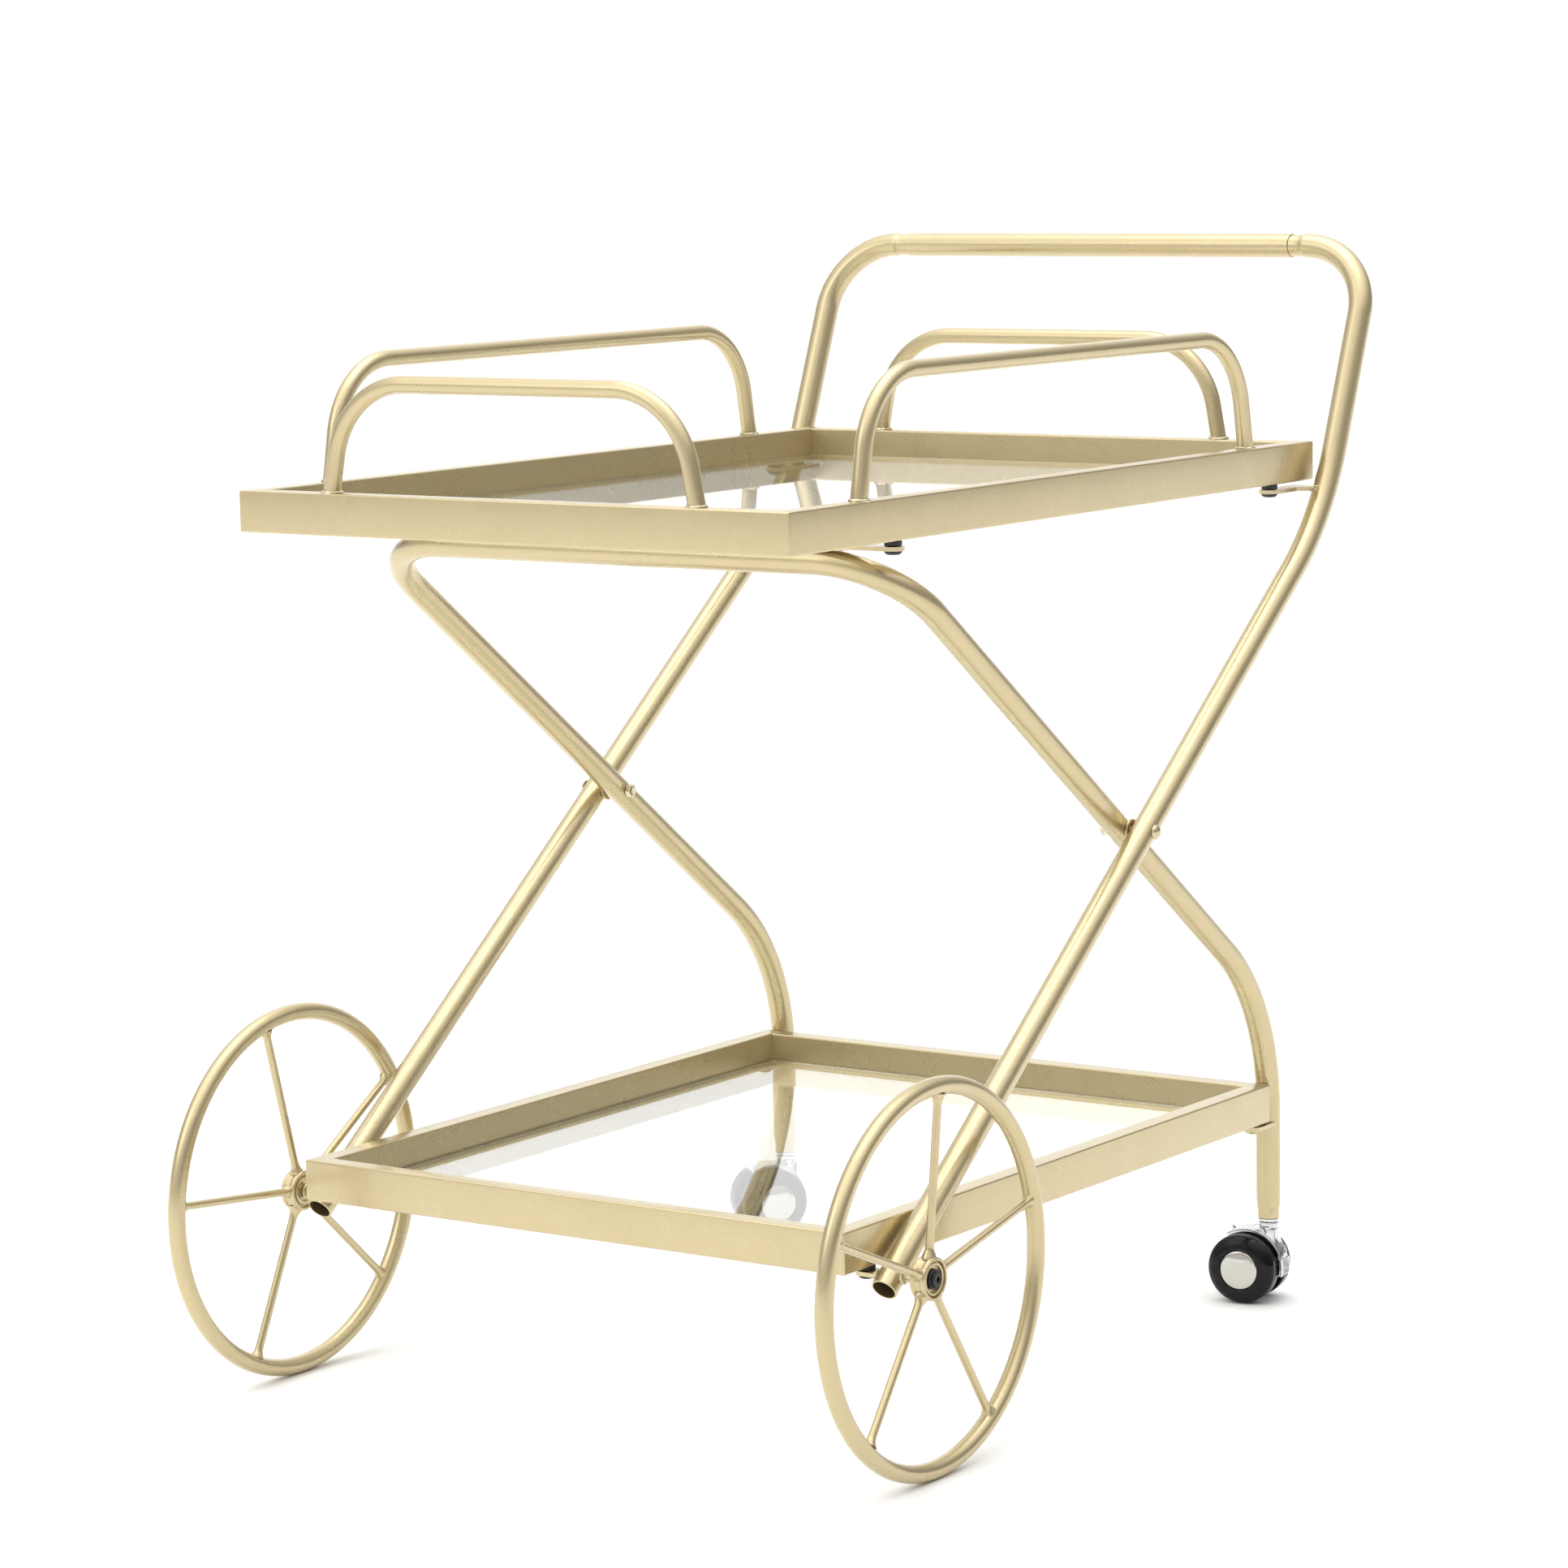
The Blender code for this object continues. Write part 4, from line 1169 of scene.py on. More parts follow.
@dataclass
class GuardRails:
    """The four bent rails that stand on the top tray."""

    shop: Workshop
    lean: float = 10.0
    bend: float = 63.0 * MM

    def build(self) -> None:
        """Make the rails and the welds at their feet."""
        for index, word in enumerate(("near", "far", "front", "rear")):
            self._rail(word, index)

    def _rail(self, word: str, index: int) -> None:
        """One rail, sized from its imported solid.

        Args:
            word: which rail.
            index: its number, for the welds' ripples.
        """
        name = "guard_rail_" + word
        low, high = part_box(name)
        size = high - low
        run = Vector((1, 0, 0)) if size.x > size.y else Vector((0, 1, 0))
        _, tray_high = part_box("top_tray_frame")
        radius = self._radius()
        middle = (low + high) / 2
        half = abs(size.dot(run)) / 2 - radius
        base = low.z
        rise = high.z - radius - base
        lean = run * rise * math.tan(math.radians(self.lean))
        feet = [Vector((*(middle + run * half * k).xy, base)) for k in (-1, 1)]
        corners = [feet[0], feet[0] + UP * rise + lean, feet[1] + UP * rise - lean, feet[1]]
        path = spaced(bent_path(corners, [self.bend] * 2), 0.03)
        path[1:1] = [feet[0] + UP * 1.0 * MM]
        path[-1:-1] = [feet[1] + UP * 1.0 * MM]
        shape = skin(sweep(path, radius, 28), caps=True)
        self.shop.piece("rail_" + word, shape, Finish.PAINT, "frame", [name])
        beads = []
        for k, foot in enumerate(feet):
            seed = index * 5.3 + k * 2.1
            centre = Vector((foot.x, foot.y, tray_high.z + 0.35 * MM))
            beads.append(weld_ring(centre, UP, radius + 0.35 * MM, 1.35 * MM, seed))
            inward = run * (1 if k == 0 else -1) * (radius + 0.9 * MM)
            drop = centre + inward + UP * 0.3 * MM
            beads.append(weld_line(drop - run * 1.6 * MM, drop + run * 1.8 * MM, 1.6 * MM, seed + 1))
        self.shop.piece("rail_welds_" + word, merged(*beads), Finish.WELD, "frame")

    @staticmethod
    def _radius() -> float:
        """The rail's tube radius, from the end rail's width on its own axis."""
        front_low, front_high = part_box("guard_rail_front")
        return (front_high.x - front_low.x) / 2


# ---------------------------------------------------------------- brackets


@dataclass
class Brackets:
    """Tabs, grommets and their welds under the trays' corners."""

    shop: Workshop
    tubes: TubeFrame
    head_radius: float = 6.3 * MM
    neck_radius: float = 3.3 * MM

    def build(self) -> None:
        """Make the grommets, dress the tabs and weld them."""
        for place in ("top_front", "top_rear", "lower_front", "lower_rear"):
            for side in Side:
                key = f"{place}_{side.word}"
                self.shop.dress("tab_" + key, Finish.PAINT)
                self._grommet(key)
                self._weld(key, place, side)

    def _grommet(self, key: str) -> None:
        """The collar above a tab and the pan head below it, satin black except on the lower rear tabs,
        which take the weld paint.
        """
        name = "clamp_" + key
        low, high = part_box(name)
        tab_low, tab_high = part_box("tab_" + key)
        centre = (low + high) / 2
        wide = self.head_radius
        slot_depth = 0.5 * MM
        chamfer = min(0.8 * MM, (high.z - tab_high.z) / 2 - 0.1 * MM)
        section = softened(
            [
                (0, high.z),
                (wide * 0.96, high.z),
                (wide, high.z - chamfer),
                (wide * 0.97, tab_high.z + 0.3 * MM),
                (self.neck_radius, tab_high.z + 0.3 * MM),
                (self.neck_radius, tab_low.z - 0.3 * MM),
                (wide, tab_low.z - 0.3 * MM),
                (wide * 0.98, low.z + 1.5 * MM),
                (wide * 0.72, low.z),
                (wide * 0.42, low.z),
                (wide * 0.36, low.z + slot_depth * 2),
                (0, low.z + slot_depth * 2),
            ],
            0.5 * MM,
        )
        shape = turned(section, Matrix.Translation(Vector((centre.x, centre.y, 0))), 36)
        finish = Finish.WELD if key.startswith("lower_rear") else Finish.SATIN_BLACK
        self.shop.piece("grommet_" + key, shape, finish, "frame", [name])

    def _weld(self, key: str, place: str, side: Side) -> None:
        """Beads along both faces of a tab where it meets its tube."""
        low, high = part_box("tab_" + key)
        inner = side.value
        seed = len(key) + inner
        beads = []
        if place == "lower_front":
            y = inner * (self.tubes.outer_y - self.tubes.radius)
            for level in (high.z, low.z):
                beads.append(
                    weld_line(Vector((low.x, y, level)), Vector((high.x, y, level)), 1.3 * MM, seed)
                )
        elif place == "lower_rear":
            x = high.x
            y = inner * self.tubes.inner_y
            reach = self.tubes.radius * 0.75
            for level in (high.z, low.z):
                a = Vector((x, y - reach, level))
                beads.append(weld_line(a, a + Vector((0, 2 * reach, 0)), 1.3 * MM, seed + level))
        elif place == "top_front":
            y = inner * min(abs(low.y), abs(high.y))
            for x in (low.x, high.x):
                a = Vector((x, y, low.z))
                b = a + Vector((0, inner * 34 * MM, 0))
                beads.append(weld_line(a, b, 1.2 * MM, seed + x))
        else:
            y = inner * (max(abs(low.y), abs(high.y)) - 1.0 * MM)
            for level in (high.z, low.z):
                a = Vector((high.x - 21 * MM, y, level))
                beads.append(weld_line(a, a + Vector((18 * MM, 0, 0)), 1.3 * MM, seed + level))
        self.shop.piece("tab_welds_" + key, merged(*beads), Finish.WELD, "frame")


@dataclass
class Pivot:
    """The bolt, washer and nut where the two frames cross."""

    shop: Workshop
    side: Side

    def build(self) -> None:
        """Make the domed head with its shank, the washer and the nut."""
        word = self.side.word
        bolt_low, bolt_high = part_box("pivot_bolt_" + word)
        middle = (bolt_low + bolt_high) / 2
        head = (bolt_high.x - bolt_low.x) / 2
        crown = 3.4 * MM
        length = bolt_high.y - bolt_low.y - crown
        face = Vector((middle.x, 0, middle.z))
        tip = bolt_high.y if self.side is Side.FAR else bolt_low.y
        face.y = tip - self.side.value * crown
        dome = [(head * math.sin(a), crown * math.cos(a)) for a in (0.0, 0.3, 0.6, 0.9, 1.2, 1.42)]
        section = [*dome, (head, 0.0), (3.0 * MM, 0.0), (3.0 * MM, -length + 0.4 * MM)]
        section += [(2.6 * MM, -length), (0.0, -length)]
        shape = turned(section, along(self.side.out, face), 40)
        self.shop.piece("rivet_" + word, shape, Finish.WELD, "frame", ["pivot_bolt_" + word])
        self._ring("pivot_washer_" + word, "spacer_" + word, 3.3 * MM, 48)
        self._nut(word)

    def _ring(self, node: str, name: str, bore: float, steps: int) -> None:
        """A flat washer from its packed box."""
        low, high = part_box(node)
        middle = (low + high) / 2
        half = (high.y - low.y) / 2
        outer = (high.x - low.x) / 2
        section = [(bore, half), (outer, half), (outer, -half), (bore, -half)]
        rounded = softened(section, 0.3 * MM, 3, closed=True)
        shape = turned(rounded, along(self.side.out, middle), steps, closed=True)
        self.shop.piece(name, shape, Finish.PAINT, "frame", [node])

    def _nut(self, word: str) -> None:
        """A six-sided nut with chamfered corners."""
        node = "pivot_nut_" + word
        low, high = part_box(node)
        middle = (low + high) / 2
        half = (high.y - low.y) / 2
        outer = (high.x - low.x) / 2
        bore = 3.3 * MM / math.cos(math.pi / 6)
        section = [(bore, half), (outer * 0.9, half), (outer, half - 0.5 * MM)]
        section += [(outer, 0.5 * MM - half), (outer * 0.9, -half), (bore, -half)]
        shape = turned(section, along(self.side.out, middle), 6, closed=True)
        self.shop.piece("nut_" + word, shape, Finish.WELD, "frame", [node])


# ---------------------------------------------------------------- spoked wheels


@dataclass
class SpokedWheel:
    """A round-tube rim, five welded spokes, a hub, and the axle that it turns on."""

    shop: Workshop
    tubes: TubeFrame
    side: Side
    first_spoke: float
    rim_radius: float = 6.5 * MM
    spoke_radius: float = 3.0 * MM
    spokes: int = 5
    hub_radius: float = 15.2 * MM
    bore: float = 4.1 * MM
    collar_radius: float = 5.0 * MM

    def build(self) -> None:
        """Make the wheel on its body, and the axle on the frame."""
        word = self.side.word
        self.centre, _ = joint_place(f"big_wheel_{word}_spin")
        low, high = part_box("wheel_rim_" + word)
        axle_low, axle_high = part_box("axle_" + word)
        self.radius = (high.z - low.z) / 2
        self.dish = abs((low.y + high.y) / 2) - abs(self.centre.y)
        self.hub_half = max(abs(axle_low.y), axle_high.y) - 1.0 * MM - abs(self.centre.y)
        self.body = "big_wheel_" + word
        self._rim()
        self._hub()
        for index in range(self.spokes):
            self._spoke(index)
        self._axle()
        self._nut()

    def _ray(self, angle: float) -> Vector:
        """The direction of a spoke at an angle from +X towards +Z."""
        return Vector((math.cos(angle), 0, math.sin(angle)))

    def _rim(self) -> None:
        """The rim, one bent tube closed on itself."""
        steps = 144
        middle = self.radius - self.rim_radius
        offset = self.centre + self.side.out * self.dish
        path = [offset + self._ray(2 * math.pi * i / steps) * middle for i in range(steps)]
        shape = skin(sweep(path, self.rim_radius, 24, closed=True), closed=True)
        name = "wheel_rim_" + self.side.word
        self.shop.piece("rim_" + self.side.word, shape, Finish.PAINT, self.body, [name])

    def _hub(self) -> None:
        """The turned hub: flared lips, a waist between them and a recessed face."""
        r = self.hub_radius
        half = self.hub_half
        section = [
            (self.bore, half - 4.0 * MM),
            (r * 0.64, half - 4.0 * MM),
            (r * 0.64, half - 1.2 * MM),
            (r * 0.75, half - 1.0 * MM),
            (r * 0.77, half - 3.4 * MM),
            (r * 0.83, half - 3.4 * MM),
            (r * 0.85, half - 0.2 * MM),
            (r * 0.93, half),
            (r, half - 1.0 * MM),
            (r, half - 3.2 * MM),
            (r * 0.94, half - 4.6 * MM),
            (r * 0.94, 4.6 * MM - half),
            (r, 3.2 * MM - half),
            (r, 1.0 * MM - half),
            (r * 0.93, -half),
            (r * 0.84, 0.2 * MM - half),
            (r * 0.82, 2.6 * MM - half),
            (r * 0.72, 2.6 * MM - half),
            (r * 0.70, 0.6 * MM - half),
            (r * 0.52, 0.6 * MM - half),
            (r * 0.50, 2.0 * MM - half),
            (self.bore, 2.0 * MM - half),
        ]
        rounded = softened(section, 0.55 * MM, 3, closed=True)
        shape = turned(rounded, along(self.side.out, self.centre), 64, closed=True)
        name = "wheel_spider_" + self.side.word
        self.shop.piece("hub_" + self.side.word, shape, Finish.PAINT, self.body, [name])

    def _spoke(self, index: int) -> None:
        """A rod whose ends swell into the welds at the hub and the rim.

        Args:
            index: which spoke, counted from the first.
        """
        angle = math.radians(self.first_spoke + 360.0 / self.spokes * index)
        ray = self._ray(angle)
        start = self.centre + ray * self.hub_radius * 0.90
        reach = self.radius - 2 * self.rim_radius + 1.2 * MM
        end = self.centre + ray * reach + self.side.out * self.dish
        length = (end - start).length
        ripple = lumpy(index * 2.7 + self.side.value, 0.42, 2.8 * MM)
        steps = 90
        path = []
        scales = []
        for k in range(steps + 1):
            travelled = length * k / steps
            point = start.lerp(end, k / steps)
            near_hub = math.exp(-((travelled / (4.4 * MM)) ** 2))
            near_rim = math.exp(-(((length - travelled) / (3.4 * MM)) ** 2))
            weld = max(near_hub, near_rim)
            path.append(point)
            scales.append(1.0 + weld * 0.72 * ripple(point) + weld * 0.25 * (ripple(point) - 1.0))
        shape = skin(sweep(path, self.spoke_radius, 20, scales), caps=True)
        name = f"spoke_{self.side.word}_{index + 1}"
        self.shop.piece(name, shape, Finish.PAINT, self.body)

    def _axle(self) -> None:
        """The stub welded to the handle frame, with its shoulder."""
        node = "axle_" + self.side.word
        low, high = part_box(node)
        inner = min(abs(low.y), abs(high.y))
        outer = max(abs(low.y), abs(high.y))
        shoulder = abs(self.centre.y) - self.hub_half - 0.3 * MM
        shank = self.bore - 0.1 * MM
        start = inner + 0.8 * MM
        outer -= 3.2 * MM
        section = [
            (0.0, outer),
            (shank - 0.6 * MM, outer),
            (shank, outer - 0.6 * MM),
            (shank, shoulder),
            (self.collar_radius, shoulder),
            (self.collar_radius, start),
            (0.0, start),
        ]
        origin = Vector((self.centre.x, 0, self.centre.z))
        shape = turned(softened(section, 0.4 * MM), along(self.side.out, origin), 40)
        self.shop.piece("stub_" + self.side.word, shape, Finish.WELD, "frame", [node])
        root = origin + self.side.out * (self.tubes.outer_y + self.tubes.radius + 0.2 * MM)
        bead = weld_ring(root, self.side.out, self.collar_radius + 0.5 * MM, 1.3 * MM, 7.0)
        tip = origin + self.side.out * (shoulder - 1.6 * MM)
        flange = weld_ring(tip, self.side.out, self.collar_radius + 0.3 * MM, 1.0 * MM, 9.0)
        shape = merged(bead, flange)
        self.shop.piece("axle_welds_" + self.side.word, shape, Finish.WELD, "frame")

    def _nut(self) -> None:
        """The black lock nut: a flange with eight flats, and a round boss."""
        node = "axle_nut_" + self.side.word
        low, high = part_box(node)
        face = min(abs(low.y), abs(high.y))
        tall = high.y - low.y
        wide = (high.x - low.x) / 2
        bore = self.bore + 0.2 * MM
        place = along(self.side.out, Vector((self.centre.x, self.side.value * face, self.centre.z)))
        base = [(bore, 3.2 * MM), (wide * 0.93, 3.2 * MM), (wide, 2.6 * MM), (wide, 0.4 * MM)]
        base += [(wide * 0.95, 0.0), (bore, 0.0)]
        boss = [(bore * 1.02, 2.4 * MM), (wide * 0.74, 2.4 * MM), (wide * 0.74, tall - 0.7 * MM)]
        boss += [(wide * 0.64, tall), (2.3 * MM, tall), (2.3 * MM, 2.9 * MM), (0.0, 2.9 * MM)]
        boss = [(0.0, 2.4 * MM), *boss]
        shape = merged(
            turned(base, place, 8, closed=True),
            turned(softened(boss, 0.35 * MM), place, 40),
        )
        self.shop.piece("lock_nut_" + self.side.word, shape, Finish.SATIN_BLACK, "frame", [node])


# ---------------------------------------------------------------- casters


@dataclass
class Caster:
    """A twin-wheel caster: socket, hood with its stem, two rollers and their covers."""

    shop: Workshop
    side: Side
    web: float = 14.0 * MM
    trail: float = 16.0 * MM
    wheel_radius: float = 27.5 * MM
    wheel_width: float = 17.5 * MM
    cover_radius: float = 15.3 * MM
    play: float = 1.0 * MM
    fender_rise: float = 3.0 * MM
    fender_lap: float = 2.3 * MM
    stem_radius: float = 4.0 * MM
    stem_length: float = 30.0 * MM

    def build(self) -> None:
        """Make each piece on its own body."""
        word = self.side.word
        self.foot, _ = joint_place(f"caster_{word}_swivel")
        self.hub, self.spin = joint_place(f"roller_{word}_a_spin")
        turn = math.atan2(-self.spin.x, self.spin.y)
        ground = Vector((self.foot.x, self.foot.y, 0))
        self.place = Matrix.Translation(ground) @ Matrix.Rotation(turn, 4, "Z")
        self.body = "caster_" + word
        self._socket()
        self._hood()
        self._lever()
        self.shop.dress("caster_axle_" + word, Finish.CHROME)
        for letter, way in (("a", 1.0), ("b", -1.0)):
            inner = self.web / 2 + self.play
            seat = along(self.spin * way, self.hub + self.spin * way * inner)
            self._roller(letter, seat)
            self._cover(letter, seat)

    def _socket(self) -> None:
        """The flanged sleeve in the end of the leg."""
        node = "caster_socket_" + self.side.word
        low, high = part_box(node)
        outer = (high.x - low.x) / 2
        bore = self.stem_radius + 0.1 * MM
        inner = 7.05 * MM
        rim = self.foot.z - 0.3 * MM
        section = [(bore, high.z), (inner, high.z), (inner, rim), (outer, rim)]
        section += [(outer, low.z), (bore, low.z)]
        rounded = softened(section, 0.5 * MM, 3, closed=True)
        place = Matrix.Translation(Vector((self.foot.x, self.foot.y, 0)))
        shape = turned(rounded, place, 40, closed=True)
        self.shop.piece("sleeve_" + self.side.word, shape, Finish.CHROME, "frame", [node])

    def _hood(self) -> None:
        """The cast hood between the rollers, its fender, collar and stem."""
        top = self.foot.z - 8.5 * MM
        mid = self.wheel_radius
        outer = mid + self.fender_rise
        groove = outer - 1.1 * MM
        half = 7.5 * MM

        def arc(first: float, last: float, radius: float) -> Profile:
            """Points on the fender's round, between two angles in degrees."""
            steps = max(2, round(abs(last - first) / 4))
            angles = (math.radians(first + (last - first) * k / steps) for k in range(steps + 1))
            return [
                (self.trail + radius * math.cos(a), mid + radius * math.sin(a)) for a in angles
            ]

        outline = [(-half, top), (half, top), *arc(100, 58, outer)]
        outline += [
            (self.trail + 10.0 * MM, mid + 8.0 * MM),
            (self.trail + 7.0 * MM, mid - 7.0 * MM),
            (self.trail - 4.0 * MM, mid - 9.5 * MM),
        ]
        outline += [*arc(192, 166.5, outer), *arc(166, 160, groove), *arc(159.5, 142, outer)]
        body = plate(outline, self.web, 0.5 * MM, self.place)
        fender = merged(
            self._fender(outer, 192, 166.5),
            self._fender(groove, 166.2, 159.8),
            self._fender(outer, 159.5, 58),
        )
        stem_top = self.foot.z - 0.3 * MM
        section = [
            (0.0, stem_top + self.stem_length),
            (self.stem_radius - 0.8 * MM, stem_top + self.stem_length),
            (self.stem_radius, stem_top + self.stem_length - 0.8 * MM),
            (self.stem_radius, stem_top - 3.0 * MM),
            (7.2 * MM, stem_top - 3.0 * MM),
            (7.8 * MM, stem_top - 3.7 * MM),
            (7.8 * MM, stem_top - 5.8 * MM),
            (7.1 * MM, stem_top - 6.6 * MM),
            (7.0 * MM, stem_top - 14.0 * MM),
            (0.0, stem_top - 14.0 * MM),
        ]
        stem = turned(softened(section, 0.4 * MM), self.place, 40)
        name = "caster_body_" + self.side.word
        shape = merged(body, fender, stem)
        self.shop.piece("hood_" + self.side.word, shape, Finish.CHROME, self.body, [name])

    def _fender(self, outer: float, first: float, last: float) -> bmesh.types.BMesh:
        """A stretch of the thin wing that follows the rollers' tops and backs.

        Args:
            outer: the radius of its outer face.
            first: the angle where it starts, in degrees.
            last: the angle where it ends.

        Returns:
            The wing's shape.
        """
        thick = 1.5 * MM
        half = self.web / 2 + self.fender_lap
        steps = max(3, round(abs(last - first) / 4))
        rings = []
        for k in range(steps + 1):
            angle = math.radians(first + (last - first) * k / steps)
            inner = outer - thick
            section = softened(
                [(-half, inner), (-half, outer), (half, outer), (half, inner)],
                0.35 * MM,
                3,
                closed=True,
            )
            ring = []
            for y, radius in section:
                x = self.trail + radius * math.cos(angle)
                z = self.wheel_radius + radius * math.sin(angle)
                ring.append(self.place @ Vector((x, y, z)))
            rings.append(ring)
        return skin(rings, caps=True)

    def _lever(self) -> None:
        """The small turned-up tab on the crown of the hood."""
        crown = self.wheel_radius + self.fender_rise - 0.3 * MM
        angle = math.radians(66.0)
        ray = Vector((math.cos(angle), 0, math.sin(angle)))
        base = Vector((self.trail, 0, self.wheel_radius)) + ray * crown
        path = [base + Vector((0, 0, 0.2 * MM)), base + Vector((0.3 * MM, 0, 0.9 * MM))]
        path += [base + Vector((0.9 * MM, 0, 1.6 * MM)), base + Vector((2.0 * MM, 0, 2.0 * MM))]
        path += [base + Vector((3.1 * MM, 0, 1.9 * MM))]
        rings = []
        for k, point in enumerate(path):
            width = (2.9 - 0.25 * k) * MM
            thick = 0.6 * MM
            corners = [(-width, -thick), (width, -thick), (width, thick), (-width, thick)]
            tilt = math.radians(90 - 24 * k)
            across = Vector((math.sin(tilt), 0, -math.cos(tilt)))
            ring = []
            for y, t in softened(corners, 0.5 * MM, 3, closed=True):
                ring.append(self.place @ (point + Vector((0, y, 0)) + across * t))
            rings.append(ring)
        shape = skin(rings, caps=True)
        self.shop.piece("lever_" + self.side.word, shape, Finish.CHROME, self.body)

    def _roller(self, letter: str, seat: Matrix) -> None:
        """A roller: tread, domed outer face and the seat for its cover.

        Args:
            letter: which of the pair.
            seat: its inner face, with Z pointing out.
        """
        r = self.wheel_radius
        w = self.wheel_width
        bore = 3.1 * MM
        lip = self.cover_radius + 0.3 * MM
        section = [(bore, w * 0.80), (lip, w * 0.80), (lip, w * 0.985)]
        for k in range(15):
            angle = math.radians(8 + 76 * k / 14)
            section.append((lip + (r - lip) * math.sin(angle), w * 0.54 + w * 0.46 * math.cos(angle)))
        section += [
            (r, w * 0.52),
            (r, w * 0.42),
            (r - 0.35 * MM, w * 0.405),
            (r - 0.35 * MM, w * 0.385),
            (r, w * 0.37),
            (r, 1.2 * MM),
            (r - 1.2 * MM, 0.0),
            (r * 0.86, 0.0),
            (r * 0.84, 0.8 * MM),
            (bore, 0.8 * MM),
        ]
        shape = turned(section, seat, 72, closed=True)
        word = f"{self.side.word}_{letter}"
        body = "roller_" + word
        self.shop.piece("tyre_" + word, shape, Finish.GLOSS_BLACK, body, ["caster_wheel_" + word])

    def _cover(self, letter: str, seat: Matrix) -> None:
        """The polished dome in a roller's outer face.

        Args:
            letter: which of the pair.
            seat: the roller's inner face, with Z pointing out.
        """
        r = self.cover_radius
        high = self.wheel_width + 1.2 * MM
        low = self.wheel_width * 0.80 + 0.3 * MM
        steps = 14
        dome = [(r * k / steps, high - 1.6 * MM * (k / steps) ** 2) for k in range(steps)]
        edge = [(r * 0.985, high - 1.75 * MM), (r, high - 2.1 * MM), (r, low), (0.0, low)]
        shape = turned(dome + edge, seat, 64)
        word = f"{self.side.word}_{letter}"
        body = "roller_" + word
        self.shop.piece("cover_" + word, shape, Finish.PLATE, body, ["caster_cap_" + word])


# ---------------------------------------------------------------- studio


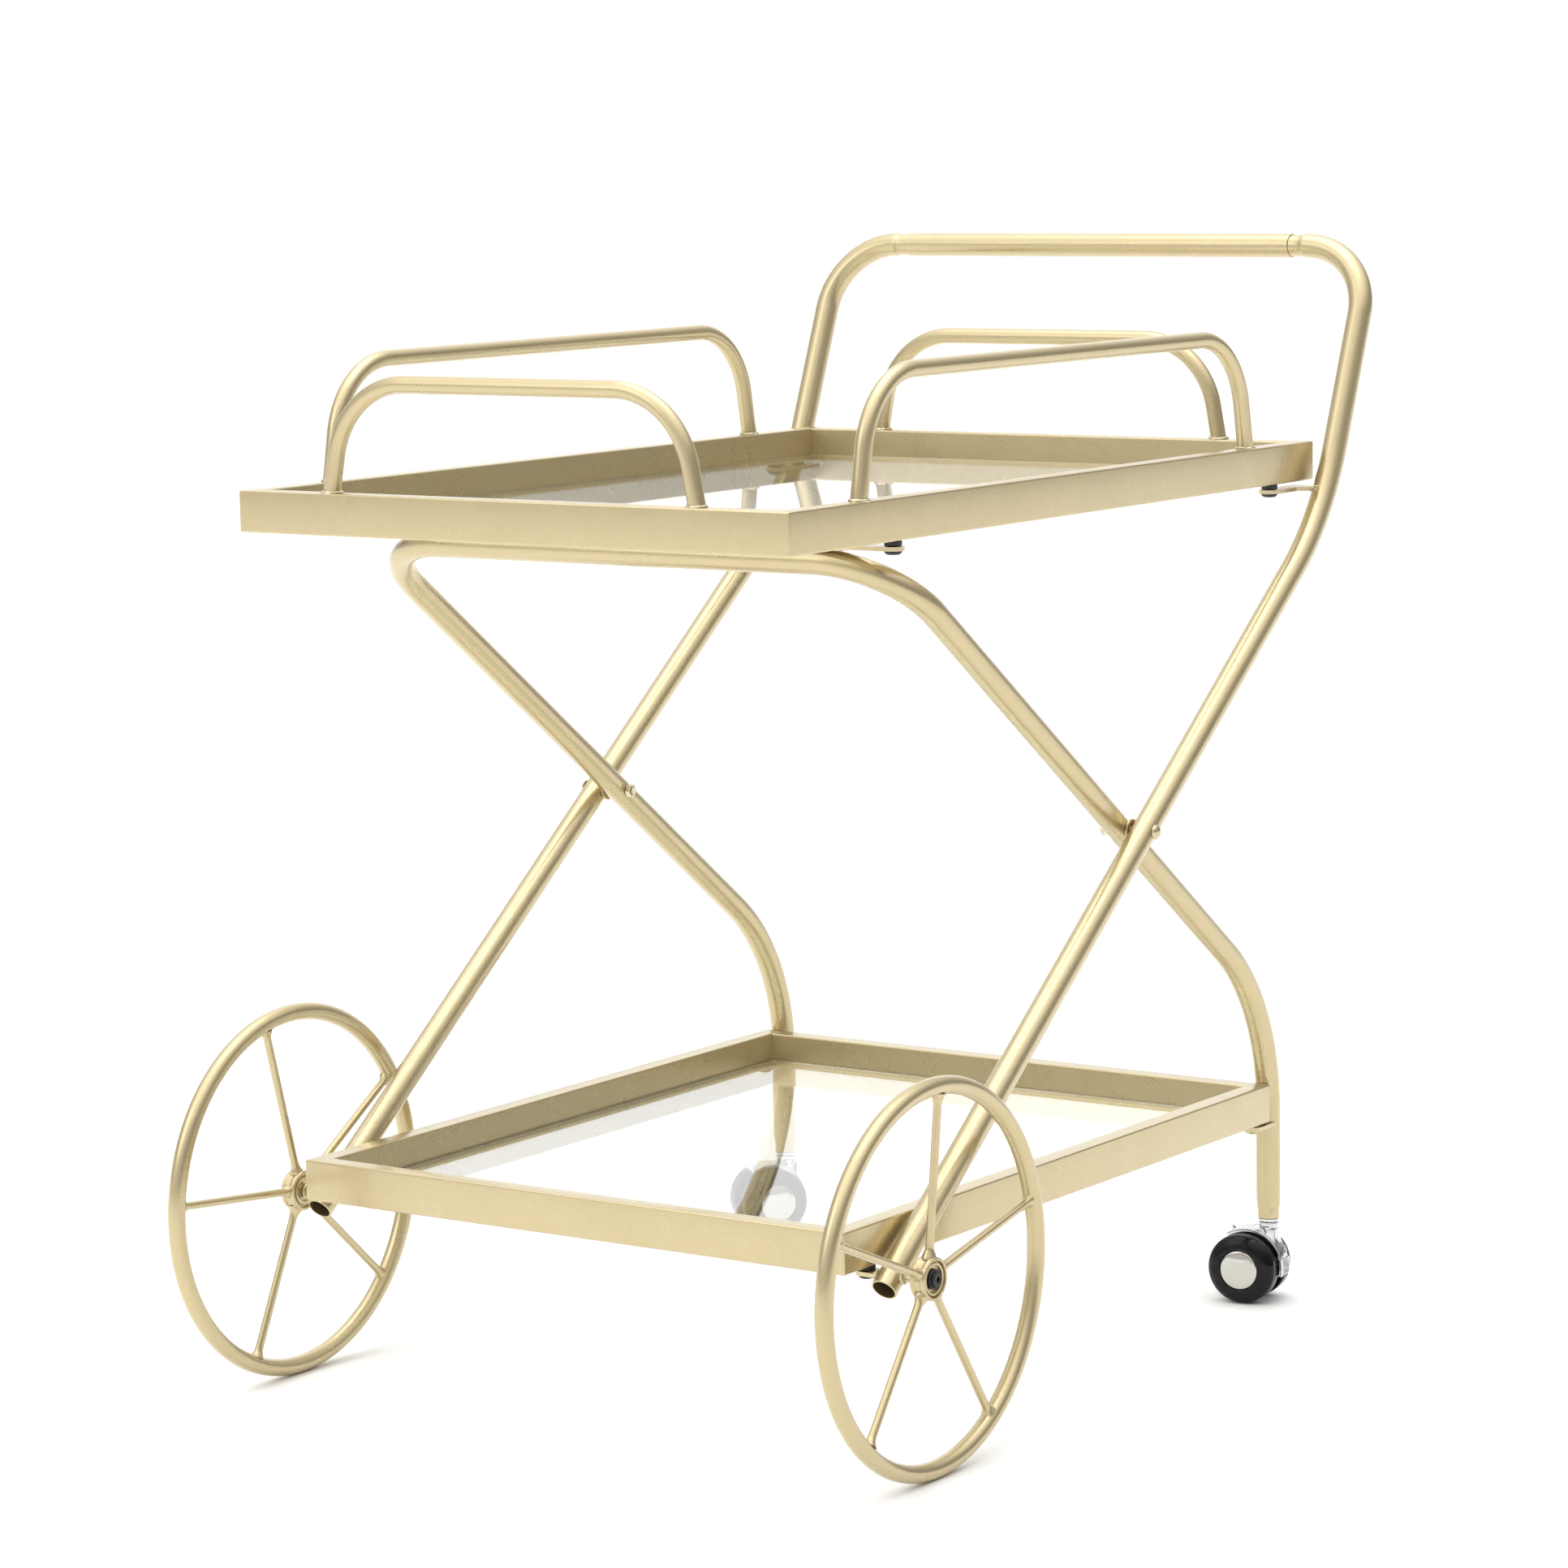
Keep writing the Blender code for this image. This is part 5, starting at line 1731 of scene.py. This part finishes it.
@dataclass
class Studio:
    """A white floor, soft lights and the camera."""

    lens: float = 114.95
    azimuth: float = -55.385
    elevation: float = 7.799
    roll: float = -0.970
    stand: tuple[float, float, float] = (-3.0919, -2.1036, 0.9413)
    floor_reach: float = 80.0
    sky: float = 0.32
    band_height: float = 0.125
    band_width: float = 0.013
    band_level: float = 0.25
    glows: tuple = (
        ((0.82, 0.57, 0.0), 1.0, 0.6),
        ((0.0, 0.0, 1.0), 1.5, 0.3),
        ((-0.9, 0.42, 0.15), 0.44, 0.0),
    )
    lamps: tuple = (
        ("key", (-3.2, 1.6, 2.4), 2.0, 17.0),
        ("top", (0.2, 0.1, 3.4), 2.4, 29.0),
    )

    def build(self) -> None:
        """Make the whole set."""
        self._floor()
        self._sky()
        for name, stand, size, power in self.lamps:
            self._lamp(name, stand, size, power)
        self._camera()
        bpy.context.scene.view_settings.view_transform = "Standard"

    def _right(self) -> Vector:
        """The level direction across the view."""
        a = math.radians(self.azimuth)
        return Vector((math.cos(a), math.sin(a), 0.0))

    def _floor(self) -> None:
        """The pale floor, faintly uneven."""
        shape = bmesh.new()
        bmesh.ops.create_grid(shape, x_segments=8, y_segments=8, size=self.floor_reach)
        mesh = bpy.data.meshes.new("studio_floor")
        shape.to_mesh(mesh)
        shape.free()
        material, w, shader, place = new_material("White floor")
        clouds = w.add("ShaderNodeTexNoise", Vector=place, Scale=1.5, Detail=4.0)
        tone = w.spread(clouds.outputs["Fac"], 0.3, 0.7, 0.0, 1.0)
        paper = w.mixed(tone, (0.93, 0.93, 0.93, 1.0), (0.955, 0.955, 0.95, 1.0))
        w.join(paper, shader.inputs["Base Color"])
        shader.inputs["Roughness"].default_value = 0.6
        shader.inputs["Specular IOR Level"].default_value = 0.2
        mesh.materials.append(material)
        floor = bpy.data.objects.new("studio_floor", mesh)
        bpy.context.scene.collection.objects.link(floor)

    def _sky(self) -> None:
        """White light: brightest overhead and behind the cart, dimmest to its near side."""
        world = bpy.data.worlds.new("Studio")
        world.use_nodes = True
        w = Wiring(world.node_tree)
        way = w.add("ShaderNodeTexCoord").outputs["Generated"]
        total: object = self.sky
        for direction, power, edge in self.glows:
            toward = w.add("ShaderNodeVectorMath", operation="DOT_PRODUCT")
            w.join(way, toward.inputs[0])
            toward.inputs[1].default_value = Vector(direction).normalized()
            glow = w.spread(toward.outputs["Value"], edge, 1.0, 0.0, 1.0)
            w.tree.nodes[-1].interpolation_type = "SMOOTHSTEP"
            total = w.maths("MULTIPLY_ADD", glow, power, total)
        heights = w.add("ShaderNodeSeparateXYZ")
        w.join(way, heights.inputs[0])
        off_band = w.maths("ABSOLUTE", w.maths("SUBTRACT", heights.outputs["Z"], self.band_height))
        dimmed = w.spread(off_band, self.band_width, self.band_width * 1.6, self.band_level, 1.0)
        total = w.maths("MULTIPLY", total, dimmed)
        ground = world.node_tree.nodes["Background"]
        ground.inputs["Color"].default_value = (1.0, 1.0, 1.0, 1.0)
        w.join(total, ground.inputs["Strength"])
        bpy.context.scene.world = world

    def _lamp(self, name: str, stand: Sequence[float], size: float, power: float) -> None:
        """A square soft box that faces the cart.

        Args:
            name: the lamp's name.
            stand: where it stands.
            size: its side.
            power: its power in watts.
        """
        data = bpy.data.lights.new("lamp_" + name, "AREA")
        data.size = size
        data.energy = power
        lamp = bpy.data.objects.new("lamp_" + name, data)
        lamp.location = stand
        aim = Vector((0, 0, LAMP_AIM_HEIGHT)) - Vector(stand)
        lamp.rotation_euler = aim.to_track_quat("-Z", "Y").to_euler()
        bpy.context.scene.collection.objects.link(lamp)

    def _camera(self) -> None:
        """The camera, by its azimuth, elevation and roll."""
        a = math.radians(self.azimuth)
        e = math.radians(self.elevation)
        r = math.radians(self.roll)
        back = Vector((math.sin(a) * math.cos(e), -math.cos(a) * math.cos(e), math.sin(e)))
        right = self._right()
        up = back.cross(right)
        across = right * math.cos(r) + up * math.sin(r)
        upright = up * math.cos(r) - right * math.sin(r)
        data = bpy.data.cameras.new("camera")
        data.lens = self.lens
        data.sensor_width = 36.0
        camera = bpy.data.objects.new("camera", data)
        turn = Matrix((across, upright, back)).transposed().to_4x4()
        camera.matrix_world = Matrix.Translation(self.stand) @ turn
        bpy.context.scene.collection.objects.link(camera)
        bpy.context.scene.camera = camera


FIRST_SPOKES = ((Side.NEAR, 86.0), (Side.FAR, 103.0))


def main() -> None:
    """Build the cart and its studio."""
    logging.basicConfig(level=logging.INFO, format="%(message)s")
    shop = Workshop(make_finishes(Effects()))
    Studio().build()
    tubes = TubeFrame(shop)
    tubes.build()
    for word in ("top", "lower"):
        Tray(shop, word).build()
    GuardRails(shop).build()
    Brackets(shop, tubes).build()
    for side, first_spoke in FIRST_SPOKES:
        Pivot(shop, side).build()
        SpokedWheel(shop, tubes, side, first_spoke).build()
        Caster(shop, side).build()


if __name__ == "__main__":
    main()
